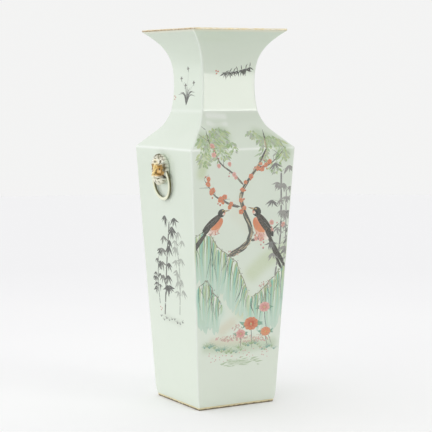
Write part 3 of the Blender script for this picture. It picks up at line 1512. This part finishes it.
    def flank(self, side: Side) -> None:
        """The ink bamboo on the left or right body, with a few red berries."""
        dice = np.random.default_rng(20 + side.value)
        ink = self._painter(dice, side, "ink_bamboo")
        way = 1 if side is Side.LEFT else -1
        pale = tint(SOFT_INK, 0.55)
        stems = ((((26, 140), (33, 200), (27, 262)), 2.8, pale, pale, 15, 4),
                 (((-22, 134), (-8, 210), (8, 280)), 3.8, WET_INK, tint(SOFT_INK, 0.9), 18, 5),
                 (((-36, 150), (-38, 186), (-33, 224)), 2.0, WET_INK, WET_INK, 11, 4))
        for path, *stem in stems:
            ink.bamboo(tuple((x * way, z) for x, z in path), *stem)
        for x in np.linspace(-34, 34, 9):
            ink.tuft((x, 128 + dice.normal(0, 2)), dice.uniform(5, 9), WET_INK, 5)
        places = tuple((x * way, z) for x, z in ((-33, 141), (-30.5, 144), (-35, 145.5)))
        ink.berries(places, 2.3, tint(IRON_RED, 0.95))
        ink.lay(self.enamel)

    def neck(self, side: Side) -> None:
        """An ink orchid on the left and right neck, and a short bamboo sprig on the others."""
        dice = np.random.default_rng(40 + side.value)
        ink = self._painter(dice, side, "neck_ink_sprig")
        if side in (Side.LEFT, Side.RIGHT):
            ink.orchid((-2, 455), 42, WET_INK, tint(SOFT_INK, 0.9))
            ink.berries(((-39, 464), (-36.5, 467), (-40, 469)), 2.6)
        else:
            path = ink.twig((-14, 504), 0.05, 50, 1.0)
            for spot in through(path, 8)[1:]:
                ink.bamboo_leaves(spot, 11, WET_INK, 4)
                ink.leaf(spot, dice.uniform(0.6, 1.8), 8, WET_INK, WET_INK, slim=0.2)
            ink.berries(((-22, 503), (-19.5, 506), (-23, 507)), 2.6)
        ink.lay(self.enamel)

    def back(self) -> None:
        """The back: a plum bough that leans in from the right over a small rock."""
        dice = np.random.default_rng(31)
        bough = self._painter(dice, Side.BACK, "plum_bough")
        main = ((40, 150), (30, 200), (2, 236), (6, 280), (-22, 318), (-34, 356))
        low, high = ((2, 236), (-26, 246), (-52, 270)), ((6, 280), (34, 300), (56, 332))
        for path, thick, thin in ((low, 3.6, 1.0), (high, 3.6, 1.0), (main, 7.0, 1.4)):
            bough.limb(path, thick, thin)
        bough.lay(self.enamel)
        flowers = self._painter(dice, Side.BACK, "plum_blossom")
        flowers.blossoming(main[2:], 10, 4.8, RED_PETALS)
        flowers.blossoming(low, 7, 4.6, PINK_PETALS)
        flowers.blossoming(high, 7, 4.6, PINK_PETALS)
        flowers.lay(self.enamel)
        rock = self._painter(dice, Side.BACK, "small_rock")
        rock.cliff(((8, 128), (22, 164), (40, 172), (58, 150), (74, 146)),
                   ((-2, 100), (20, 94), (42, 96), (60, 98), (76, 108)), 26)
        for x in np.linspace(-40, 58, 18):
            place = (x, 92 + dice.normal(0, 2))
            rock.tuft(place, dice.uniform(6, 11), tint(LEAF_GREEN, 0.85))
        rock.lay(self.enamel)

    def paint(self) -> None:
        """Paints all four sides."""
        self.front()
        self.back()
        for side in (Side.LEFT, Side.RIGHT):
            self.flank(side)
        for side in Side:
            self.neck(side)


@dataclass(frozen=True)
class Lump:
    """A rounded lump of clay on the mask, as an ellipsoid seen from the front, in millimetres."""

    across: float
    up: float
    depth: float
    half_across: float
    half_up: float
    half_depth: float
    tilt: float = 0.0

    def _own(self, x: Array, z: Array) -> tuple[Array, Array]:
        """Takes steps across and up to the lump's own axes, in half-sizes."""
        c, s = math.cos(self.tilt), math.sin(self.tilt)
        return (c * x + s * z) / self.half_across, (-s * x + c * z) / self.half_up

    def height(self, x: Array, z: Array) -> Array:
        """Its front surface: depth plus half-depth times the root of one less the squared
        distance in half-sizes. Outside its outline it is far behind the wall."""
        u, v = self._own(x - self.across, z - self.up)
        inside = 1.0 - u**2 - v**2
        return np.where(inside > 0, self.depth + self.half_depth * np.sqrt(np.maximum(inside, 0)), -50.0)

    def reach(self, angle: Array) -> Array:
        """How far along each ray from the mask's middle the lump still lies: the greater root r
        of |r way - middle| = 1 in its own half-sizes, or none where the ray misses it."""
        way = np.stack(self._own(np.sin(angle), np.cos(angle)))
        middle = np.array(self._own(self.across, self.up)).reshape(2, *[1] * np.ndim(angle))
        along, square = (way * middle).sum(0), (way**2).sum(0)
        root = along**2 - square * ((middle**2).sum(0) - 1.0)
        return np.where(root > 0, (along + np.sqrt(np.maximum(root, 0))) / square, 0.0)

    def mirrored(self) -> "Lump":
        """The same lump on the other cheek."""
        return Lump(-self.across, self.up, self.depth, self.half_across, self.half_up,
                    self.half_depth, -self.tilt)


@dataclass(frozen=True)
class Mark:
    """A touch of enamel on both halves of the mask: an oval, or with a rim only its outline."""

    across: float
    up: float
    half_across: float
    half_up: float
    colour: tuple
    strength: float = 0.85
    rim: float = 0.0
    above: float = -9.0
    below: float = 9.0

    def over(self, aside: Array, up: Array) -> Array:
        """Its strength: a firm bell of the distance in half-sizes, or of how far the distance is
        from one in rim widths, between its limits above and below in half-sizes."""
        u, v = (aside - self.across) / self.half_across, (up - self.up) / self.half_up
        away = np.hypot(u, v)
        bell = np.exp(-(((away - 1) / self.rim) ** 2)) if self.rim else np.exp(-(away**4))
        return self.strength * bell * ((v > self.above) & (v < self.below))


SOOT = linear(16, 12, 2)
UMBER = linear(84, 72, 30)
LID_BROWN = linear(112, 78, 8)
GOLD_SHADE = linear(140, 104, 26)
GREY_OLIVE = linear(116, 112, 82)
JAW_OLIVE = linear(104, 98, 60)
WHORL_SHADE = linear(100, 94, 64)
WHORL_DARK = linear(84, 78, 46)
FOREHEAD_SHADE = linear(100, 88, 54)
BROW_GOLD = linear(150, 122, 66)
EYE_GLOW = linear(250, 214, 158)
MASK_MARKS = (
    Mark(0, 20.2, 5.6, 3.4, WHORL_SHADE, 0.95, 0.42, -0.5),
    Mark(0, 22.8, 5.2, 1.8, WHORL_DARK, 0.95),
    Mark(2.0, 17.0, 2.4, 1.0, GREY_OLIVE, 0.85),
    Mark(9.5, 17.6, 2.6, 2.2, GREY_OLIVE, 0.7, 0.3, -0.3),
    Mark(0, 12.2, 5.4, 2.1, FOREHEAD_SHADE, 0.95),
    Mark(6.6, 7.8, 4.2, 1.5, BROW_GOLD, 0.85),
    Mark(12.0, 9.8, 1.2, 3.4, UMBER, 0.9),
    Mark(12.4, 5.0, 6.2, 2.5, GOLD_SHADE, 0.85),
    Mark(19.0, 3.2, 2.3, 8.6, UMBER, 0.95),
    Mark(15.4, -1.4, 2.4, 5.4, GOLD_SHADE, 0.8),
    Mark(10.6, -2.4, 2.6, 2.4, EYE_GLOW, 0.85),
    Mark(10.0, -1.6, 5.4, 5.0, LID_BROWN, 0.9, 0.17, -2.0, 0.5),
    Mark(5.0, -2.4, 1.6, 4.2, LID_BROWN, 0.65),
    Mark(10.2, 1.2, 2.4, 1.9, SOOT, 1.0),
    Mark(2.6, -6.5, 1.3, 0.9, UMBER, 0.8),
    Mark(0, -10.2, 1.6, 0.9, UMBER, 0.7),
    Mark(16.0, -9.6, 5.0, 3.3, SOOT, 1.0),
    Mark(6.4, -12.8, 0.8, 2.0, GREY_OLIVE, 0.9),
    Mark(3.2, -17.0, 1.2, 2.4, GREY_OLIVE, 0.9),
    Mark(7.6, -18.4, 1.6, 1.8, GREY_OLIVE, 0.9),
    Mark(0, -20.0, 1.0, 2.4, GREY_OLIVE, 0.9),
    Mark(14.4, -16.2, 2.3, 1.7, JAW_OLIVE, 0.9),
    Mark(12.0, -20.4, 2.6, 1.3, JAW_OLIVE, 0.85),
)


@dataclass
class LionHandle:
    """A lion mask and the fixed ring through its muzzle. Mask sizes are in millimetres, in the
    wall's own frame: across, up the wall from the mask's middle, and depth away from the wall."""

    form: VaseForm
    side: Side
    enamel: Material
    middle_height: float = 360.5 * MM
    plate: tuple = (19.5, 22.3, 8.6)
    foot_share: float = 0.93
    ring_radius: float = 24.6
    ring_tube: float = 2.7
    ring_top: float = 4.2
    ring_top_standoff: float = 5.4
    ring_clearance: float = 0.3
    sharpness: float = 3.2
    white: tuple = linear(252, 250, 232)
    greenish: tuple = linear(226, 233, 216)
    cream: tuple = linear(254, 242, 198)
    golden: tuple = linear(220, 166, 66)
    pale_gold: tuple = linear(248, 216, 134)
    ring_cream: tuple = linear(240, 243, 216)
    ring_dark: tuple = linear(92, 90, 52)

    def _to_wall(self, local: Array) -> Array:
        """Takes points of the mask's frame to this side of the leaning wall, in metres."""
        lean = math.atan((self.form.ridge[0] - self.form.foot_half) / self.form.ridge[1])
        x, depth, up = local[..., 0] * MM, local[..., 1] * MM, local[..., 2] * MM
        y = -depth * math.cos(lean) - up * math.sin(lean)
        z = -depth * math.sin(lean) + up * math.cos(lean)
        wall = self.form.foot_half + math.tan(lean) * self.middle_height
        return self.side.turn(np.stack([x, y - wall, z + self.middle_height], axis=-1))

    def _lumps(self) -> dict[str, list[Lump]]:
        """The mask's features, grouped by how they are painted."""
        outer = [Lump(17.4 * math.sin(a), 2.6 + 17.3 * math.cos(a), 5.4, 4.0, 3.8, 5.4)
                 for a in np.linspace(-1.72, 1.72, 11)]
        inner = [Lump(11.8 * math.sin(a), 3.4 + 13.4 * math.cos(a), 9.2, 3.4, 3.4, 4.6)
                 for a in np.linspace(-1.2, 1.2, 7)]
        locks = [Lump(4.4 * k, -18.7 + 1.44 * abs(k), 8.4 - abs(k), 2.8, 5.2, 6.8, 0.16 * k)
                 for k in (-2, -1, 0, 1, 2)]
        whiskers = [Lump(17.0, -6.7, 5.2, 4.0, 5.5, 5.4), Lump(13.4, -13.9, 5.2, 3.8, 4.8, 5.0, -0.3)]
        pairs = {
            "whisker": whiskers,
            "brow": [Lump(9.0, 6.7, 11.0, 6.2, 2.3, 3.3, 0.2)],
            "eye": [Lump(9.9, -0.5, 8.8, 5.1, 4.1, 3.9)],
            "cheek": [Lump(12.4, -3.1, 5.9, 6.6, 6.4, 6.2), Lump(12.4, 3.8, 5.9, 6.6, 5.2, 6.2)],
            "ear": [Lump(16.8, 9.6, 6.4, 2.9, 4.7, 4.6, -0.5)],
            "lip": [Lump(5.2, -9.1, 12.6, 5.6, 3.6, 5.3)],
        }
        groups = {name: [one for lump in lumps for one in (lump, lump.mirrored())]
                  for name, lumps in pairs.items()}
        groups["mane"] = outer + inner
        groups["crown"] = [Lump(0, 9.6, 7.8, 11.8, 10.4, 6.6)]
        groups["nose"] = [Lump(0, 1.4, 11.4, 3.3, 8.5, 5.8), Lump(0, -5.2, 15.6, 5.1, 3.3, 3.6),
                          Lump(0, -4.1, 8.2, 11.0, 9.0, 8.6)]
        groups["beard"] = locks + [Lump(0, -15.6, 9.0, 9.4, 4.7, 8.4)]
        return groups

    def _plate(self, x: Array, z: Array) -> Array:
        """The block behind the face: its depth times the fourth root of one less the eighth power
        of the distance in half-sizes, and far behind the wall outside it."""
        across, up, depth = self.plate
        inside = 1.0 - (np.abs(x / across) ** 2.4 + np.abs(z / up) ** 2.4) ** (8 / 2.4)
        return np.where(inside > 0, depth * np.maximum(inside, 0) ** 0.25, -50.0)

    def _edge(self, angle: Array) -> Array:
        """The outline's distance from the mask's middle: the furthest reach of plate and lumps."""
        across, up, _ = self.plate
        plate = (np.abs(np.sin(angle) / across) ** 2.4 + np.abs(np.cos(angle) / up) ** 2.4) ** (-1 / 2.4)
        reaches = [lump.reach(angle) for lumps in self._lumps().values() for lump in lumps]
        return np.maximum(plate, np.max(reaches, axis=0))

    def mask(self) -> Piece:
        """The mask: a height over the wall on a grid of rings round its middle, and an undercut
        side behind its edge, which draws in to the foot share of the edge as it falls to the wall.

        Returns:
            The dressed piece.
        """
        rings, spokes = 104, 320
        share = np.sin(np.linspace(0, 1, rings) * QUARTER_TURN)[:, None]
        angle = np.linspace(-math.pi, math.pi, spokes, endpoint=False)[None, :]
        edge = self._edge(angle)
        x, z = share * edge * np.sin(angle), share * edge * np.cos(angle)
        height, colour = self._relief(x, z)
        fall = np.array([0.85, 0.68, 0.5, 0.32, 0.16, 0.0])[:, None]
        inset = self.foot_share + (1 - self.foot_share) * fall**0.6
        depth = self.ring_clearance + (height[-1] - self.ring_clearance) * fall
        side = np.stack([x[-1] * inset, depth, z[-1] * inset], axis=-1)
        points = np.concatenate([np.stack([x, height, z], axis=-1)[1:], side])
        poles = np.array([[0.0, height[0].mean(), 0.0], [0.0, self.ring_clearance, 0.0]])
        local = np.concatenate([points.reshape(-1, 3), poles])
        rows = points.shape[0]
        front_pole = rows * spokes
        faces = [*closed_grid(rows, spokes, False, True).tolist(),
                 *fan(0, spokes, front_pole)[:, ::-1].tolist(),
                 *fan(front_pole - spokes, spokes, front_pole + 1).tolist()]
        node = f"{self.side.label}_lion_mask"
        piece = make_object(f"{node}_enamelled", self._to_wall(local), faces)
        glazed = np.array([*self.greenish[:3], 0.0])
        side_colour = mixed(colour[-1], glazed, (1 - fall[:, :, None]) ** 0.5)
        paint = np.concatenate([colour[1:].reshape(-1, 4), side_colour.reshape(-1, 4), colour[:1, 0],
                                glazed[None]])
        add_colours(piece, "paint", paint)
        return finish(piece, self.enamel, node)

    def _relief(self, x: Array, z: Array) -> tuple[Array, Array]:
        """Heights and painted colours of the mask at points of the wall's frame.

        The height is the largest of the plate and every group of lumps, softened as the logarithm
        of a sum of exponentials, less the grooves.

        Args:
            x: across, in millimetres.
            z: up from the mask's middle, in millimetres.

        Returns:
            The heights, and colours whose alpha is the share of gilding.
        """
        near_x, near_z = x * 0.997, z * 0.997
        groups = {name: np.max([lump.height(near_x, near_z) for lump in lumps], axis=0)
                  for name, lumps in self._lumps().items()}
        names = ["plate", *groups]
        layers = np.stack([self._plate(near_x, near_z), *groups.values()])
        top = layers.max(axis=0)
        height = top + np.log(np.exp((layers - top) * self.sharpness).sum(axis=0)) / self.sharpness
        owner = layers.argmax(axis=0)
        is_in = {name: owner == k for k, name in enumerate(names)}
        groove = self._grooves(x, z, is_in)
        height = np.maximum(1.2, height - groove)
        dark = np.clip(groove / 0.6, 0, 1) * np.where(is_in["mane"], 1.0, 0.35)
        return height, self._painted(x, z, is_in, dark)

    def _painted(self, x: Array, z: Array, is_in: dict[str, Array], dark: Array) -> Array:
        """The enamels: white curls and chin, a golden face between them, brown brows and lines.

        The gold is a band over the face whose strength steps smoothly down at the brow, at the
        upper lip and towards the ears.

        Args:
            x: across, in millimetres.
            z: up, in millimetres.
            is_in: where each group of lumps stands out.
            dark: how deep the grooves are, as a share.

        Returns:
            A colour for each point, with the share of gilding as its alpha.
        """
        aside = np.abs(x)
        gold = ramp(z, -10.5, -7.5) * (1 - ramp(z, 6.5, 9.5)) * (1 - ramp(aside, 18.2, 19.6))
        gold = (gold * np.where(is_in["mane"], 0.0, 1.0))[..., None]
        tone = np.empty((*x.shape, 4))
        tone[:] = self.greenish
        for name, colour in (("mane", self.white), ("crown", self.cream), ("beard", self.white),
                             ("lip", self.white)):
            tone[is_in[name]] = colour
        outer = ramp(aside, 3.0, 7.0)[..., None]
        warm = mixed(np.array(self.pale_gold), np.array(self.golden), outer)
        dark = 0.8 * dark[..., None]
        tone = mixed(mixed(tone, warm, gold), np.array(UMBER), dark)
        for mark in MASK_MARKS:
            tone = mixed(tone, np.array(mark.colour), mark.over(aside, z)[..., None])
        tone[..., 3:] = 0.03 + 0.10 * gold * (1 - dark)
        return tone

    def _grooves(self, x: Array, z: Array, is_in: dict[str, Array]) -> Array:
        """Depth cut from the mask: spirals round each curl, strands, mouth, nostrils and pupils.

        Args:
            x: across, in millimetres.
            z: up, in millimetres.
            is_in: where each group of lumps stands out.

        Returns:
            The depth at each point, in millimetres.
        """
        aside = np.abs(x)

        def pit(across: float, up: float, half_across: float, half_up: float, power: int = 2) -> Array:
            """A pit in each half of the face: a bell of the distances in half-sizes."""
            return np.exp(-(((aside - across) / half_across) ** power) - (((z - up) / half_up) ** power))

        def line(across: float, up: float, half_across: float, half_up: float, width: float) -> Array:
            """A line round an oval in each half: a bell of how far the distance is from one."""
            away = np.hypot((aside - across) / half_across, (z - up) / half_up)
            return np.exp(-(((away - 1) / width) ** 2))

        groove = np.zeros_like(x)
        for lump in self._lumps()["mane"]:
            dx, dz = x - lump.across, z - lump.up
            radius = np.hypot(dx, dz)
            spiral = np.cos(np.arctan2(dz, dx) * np.sign(lump.across + 0.1) - radius * 2.1)
            near = (radius < lump.half_across) & is_in["mane"]
            groove = np.where(near, 0.6 * np.clip(spiral - 0.5, 0, 1) / 0.5, groove)
        strands = np.cos(x * 3.0 + 0.2 * z) ** 8
        groove = np.where(is_in["beard"] & (z < -16), 0.45 * strands, groove)
        groove = np.where(is_in["whisker"], 0.4 * np.cos(x * 2.6 + z * 0.9) ** 8, groove)
        groove = np.where(is_in["brow"], 0.4 * np.cos(x * 3.0 + z) ** 6, groove)
        slot = 0.6 * np.exp(-(((z + 12.5 - 0.006 * x**2) / 0.8) ** 2)) * (aside < 14.5)
        corner = 3.8 * pit(16.2, -10.4, 2.4, 2.3, 4)
        teeth = 0.6 * np.cos(x * 1.9) ** 12 * np.exp(-(((z + 14.4) / 1.2) ** 2)) * (aside < 8)
        nostril = 1.6 * pit(2.7, -6.6, 1.1, 0.9)
        pupil = 1.1 * pit(10.3, 1.1, 1.2, 1.1)
        lid = 0.7 * line(10.0, -1.3, 4.9, 4.4, 0.11)
        fold = 0.7 * line(5.2, -8.8, 5.9, 4.1, 0.10) * (z < -5.5)
        wing = 0.6 * line(0.5, -5.2, 5.4, 3.9, 0.09) * (z > -8)
        whisker_dots = 0.4 * (np.cos(x * 2.1) * np.cos((z + 9) * 2.1)) ** 14 * is_in["lip"]
        return groove + slot + corner + teeth + nostril + pupil + lid + fold + wing + whisker_dots

    def ring(self) -> Piece:
        """The ring: a torus that leans on the wall, with a slight swell in its tube. It is cream
        on the side away from the wall and dark olive on the side that faces the wall and the front.

        A point is the circle's centre, plus the ring radius along the spoke, plus the tube radius
        along the spoke and the ring's axis by the cosine and sine of the second angle.

        Returns:
            The dressed piece.
        """
        foot_depth = self.ring_tube + self.ring_clearance
        lean = math.asin((self.ring_top_standoff - foot_depth) / (2 * self.ring_radius))
        round_ring = np.linspace(0, 2 * math.pi, 160, endpoint=False)[:, None]
        round_tube = np.linspace(0, 2 * math.pi, 28, endpoint=False)[None, :]
        tube = (self.ring_tube - 0.05) * (1 - 0.03 * (1 + np.cos(3 * round_ring + 0.7)))
        reach = self.ring_radius + tube * np.cos(round_tube)
        across, in_plane = reach * np.sin(round_ring), reach * np.cos(round_ring)
        aside = tube * np.sin(round_tube)
        centre_depth = (self.ring_top_standoff + foot_depth) / 2
        centre_up = self.ring_top - self.ring_radius * math.cos(lean)
        depth = centre_depth + in_plane * math.sin(lean) + aside * math.cos(lean)
        up = centre_up + in_plane * math.cos(lean) - aside * math.sin(lean)
        local = np.stack([across, depth, up], axis=-1)
        quads = closed_grid(local.shape[0], local.shape[1], True, True)
        node = f"{self.side.label}_ring"
        piece = make_object(f"{node}_glazed", self._to_wall(local).reshape(-1, 3), quads)
        front = 1 if self.side is Side.LEFT else -1
        inward = 0.47 * front * np.cos(round_tube) * np.sin(round_ring) - 0.88 * np.sin(round_tube)
        dark = np.clip((inward + 0.25) / 0.3, 0, 1)[..., None]
        tone = mixed(np.array(self.ring_cream), np.array(self.ring_dark), dark)
        tone[..., 3] = 0.04
        add_colours(piece, "paint", tone.reshape(-1, 4))
        return finish(piece, self.enamel, node)


@dataclass(frozen=True)
class Studio:
    """The pale floor, the soft light and the camera.

    The camera's place was found by fitting the vase's twelve corners to their pixels in a frame
    of 432 by 432: its bearing is measured from -Y towards -X, and its distance from the axis."""

    frame_pixels: float = 432.0
    focal_pixels: float = 1485.68
    sensor_mm: float = 36.0
    bearing: float = math.radians(29.934)
    distance: float = 2.2766
    height: float = 0.5001
    pitch: float = 0.0943
    roll: float = -0.00396
    yaw: float = 0.00107
    floor_radius: float = 4.0
    near_floor: tuple = linear(249, 249, 250)
    floor_cloud: tuple = linear(252, 252, 252)
    far_floor: tuple = linear(243, 243, 244)
    floor_fades_between: tuple = (0.3, 1.6)
    backdrop: tuple = (0.9, 0.9, 0.895, 1.0)
    even: tuple = (1.01, 1.01, 1.01, 1.0)
    left_side: tuple = (1.31, 1.315, 1.335, 1.0)
    overhead: tuple = (1.055, 1.055, 1.055, 1.0)
    dim_side: tuple = (0.13, 0.12, 0.11, 1.0)
    box_light: tuple = (5.2, 5.1, 5.0, 1.0)
    box_facing: tuple = (0.5, -0.866)
    box_across: tuple = (-0.14, 0.14)
    box_up: tuple = (-0.158, 0.30)
    strip_up: tuple = (0.22, 0.34)
    strip_light: tuple = (10.0, 10.0, 9.8, 1.0)
    box_edge: float = 0.03

    def camera(self) -> bpy.types.Object:
        """Makes the camera at the photograph's viewpoint.

        Returns:
            The camera, set as the scene's own.
        """
        data = bpy.data.cameras.new("camera")
        data.lens = self.focal_pixels / self.frame_pixels * self.sensor_mm
        data.sensor_width = self.sensor_mm
        data.clip_end = 50.0
        place = Vector((-math.sin(self.bearing) * self.distance,
                        -math.cos(self.bearing) * self.distance, self.height))
        course = self.bearing + self.yaw
        ahead = Vector((math.sin(course) * math.cos(self.pitch),
                        math.cos(course) * math.cos(self.pitch), -math.sin(self.pitch)))
        right = ahead.cross(Vector((0, 0, 1))).normalized()
        up = right.cross(ahead)
        tilted_right = right * math.cos(self.roll) + up * math.sin(self.roll)
        tilted_up = up * math.cos(self.roll) - right * math.sin(self.roll)
        basis = Matrix((tilted_right, tilted_up, -ahead)).transposed().to_4x4()
        camera = bpy.data.objects.new("camera", data)
        camera.matrix_world = Matrix.Translation(place) @ basis
        bpy.context.scene.collection.objects.link(camera)
        bpy.context.scene.camera = camera
        return camera

    def floor(self) -> bpy.types.Object:
        """A round pale floor: rings of a growing radius round a middle point, at height zero. It
        darkens with distance to the backdrop's tone, so that no horizon shows.

        Returns:
            The stage object.
        """
        reach = np.linspace(0, 1, 24)[1:, None] ** 1.5 * self.floor_radius
        spokes = np.linspace(0, 2 * math.pi, 96, endpoint=False)[None, :]
        grid = np.stack(np.broadcast_arrays(reach * np.cos(spokes), reach * np.sin(spokes), 0.0), axis=-1)
        rows, columns = grid.shape[:2]
        vertices = np.vstack([grid.reshape(-1, 3), [[0.0, 0.0, 0.0]]])
        quads = closed_grid(rows, columns, False, True)[:, ::-1]
        sheet = make_object("pale_floor", vertices,
                            [*quads.tolist(), *fan(0, columns, rows * columns).tolist()])
        g = Graph("pale_floor")
        cloud = g.spread(g.noise(1.5, 2.0), 0.3, 0.7, 0.0, 1.0)
        away = g.add("VectorMath", {0: g.place()}, operation="LENGTH").outputs["Value"]
        tone = g.blend(g.spread(away, *self.floor_fades_between, 0.0, 1.0),
                       g.blend(cloud, self.near_floor, self.floor_cloud), self.far_floor)
        g.feed(g.shader, {"Base Color": tone, "Roughness": 1.0, "Specular IOR Level": 0.0,
                          "Emission Color": (1.0, 1.0, 1.0, 1.0), "Emission Strength": 0.012})
        sheet.data.materials.append(g.material)
        return sheet

    def surroundings(self) -> None:
        """The studio round the vase, as light from each direction: a bright side on the left, a
        dim side behind the camera, a soft box at the front right, and a brighter strip across the
        top of the box. The camera itself sees an even pale backdrop."""
        world = bpy.data.worlds.new("studio")
        bpy.context.scene.world = world
        world.use_nodes = True
        g = Graph.over(world.node_tree)
        way = g.add("TexCoord").outputs["Generated"]
        left = g.spread(g.dot(way, (-0.94, 0.2, 0.28)), -0.2, 0.9, 0.0, 1.0)
        front = g.spread(g.dot(way, (0.45, -0.89, 0.0)), -0.3, 0.8, 0.0, 1.0)
        above = g.spread(g.dot(way, (0.0, 0.0, 1.0)), 0.35, 0.8, 0.0, 1.0)
        tone = g.blend(left, self.even, self.left_side)
        tone = g.blend(front, tone, self.dim_side)
        tone = g.blend(above, tone, self.overhead)
        for up, light in ((self.box_up, self.box_light), (self.strip_up, self.strip_light)):
            tone = g.blend(self._soft_box(g, way, up), tone, light)
        background = world.node_tree.nodes["Background"]
        seen = g.add("LightPath").outputs["Is Camera Ray"]
        g.feed(background, {"Color": g.blend(seen, tone, self.backdrop)})

    def _soft_box(self, g: Graph, way: Socket, up: tuple) -> Socket:
        """One where a direction meets the soft box, fading to none at its edges.

        The direction is cast on a plane that faces the vase: across is its share along the
        plane's level axis over its share along the plane's facing, and up is likewise.

        Args:
            g: the world's graph.
            way: the direction.
            up: the box's lower and upper limit on the plane.

        Returns:
            The share of the box's light.
        """
        ahead = g.dot(way, (*self.box_facing, 0.0))
        level = (-self.box_facing[1], self.box_facing[0], 0.0)
        share, edge = g.spread(ahead, 0.05, 0.15, 0.0, 1.0), self.box_edge
        for axis, low, high in ((level, *self.box_across), ((0.0, 0.0, 1.0), *up)):
            place = g.reckon("DIVIDE", g.dot(way, axis), ahead)
            share = g.reckon("MULTIPLY", share, g.spread(place, low, low + edge, 0.0, 1.0))
            share = g.reckon("MULTIPLY", share, g.spread(place, high - edge, high, 1.0, 0.0))
        return share

    def view(self) -> None:
        """Shows colours as they are, without a film curve."""
        bpy.context.scene.view_settings.view_transform = "Standard"


def dress_plain_nodes(biscuit: Material) -> None:
    """Gives the base slab and the corner coils, whose own shapes are right, the biscuit finish."""
    for name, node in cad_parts.items():
        if name == "base_slab" or name.endswith("corner_coil"):
            node.data.materials.clear()
            node.data.materials.append(biscuit)
            LOG.info("kept %s", name)


def write_sizes() -> None:
    """Writes the box of the solids and the box of the dressed vase, as plain lists."""
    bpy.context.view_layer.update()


def main() -> None:
    """Builds the vase from the foot up and reports each piece."""
    studio = Studio()
    studio.camera()
    form = VaseForm(lip_bottom=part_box("lip")[0].z, foot_top=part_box("foot_ring")[1].z)
    glaze = Glaze()
    walls = Walls(form, glaze.material(), Decoration.washes())
    for side in Side:
        for slab in Slab:
            LOG.info("made %s", walls.build(side, slab).name)
    edges = Edges(form, Gilding().material(), IronWash().material())
    LOG.info("made %s", edges.lip().name)
    LOG.info("made %s", edges.foot_ring().name)
    dress_plain_nodes(Biscuit().material())
    Decoration(form, glaze.painted()).paint()
    enamel = MaskEnamel().material()
    for side in (Side.LEFT, Side.RIGHT):
        handle = LionHandle(form, side, enamel)
        LOG.info("made %s", handle.mask().name)
        LOG.info("made %s", handle.ring().name)
    studio.floor()
    studio.surroundings()
    studio.view()
    write_sizes()


if __name__ == "__main__":
    main()
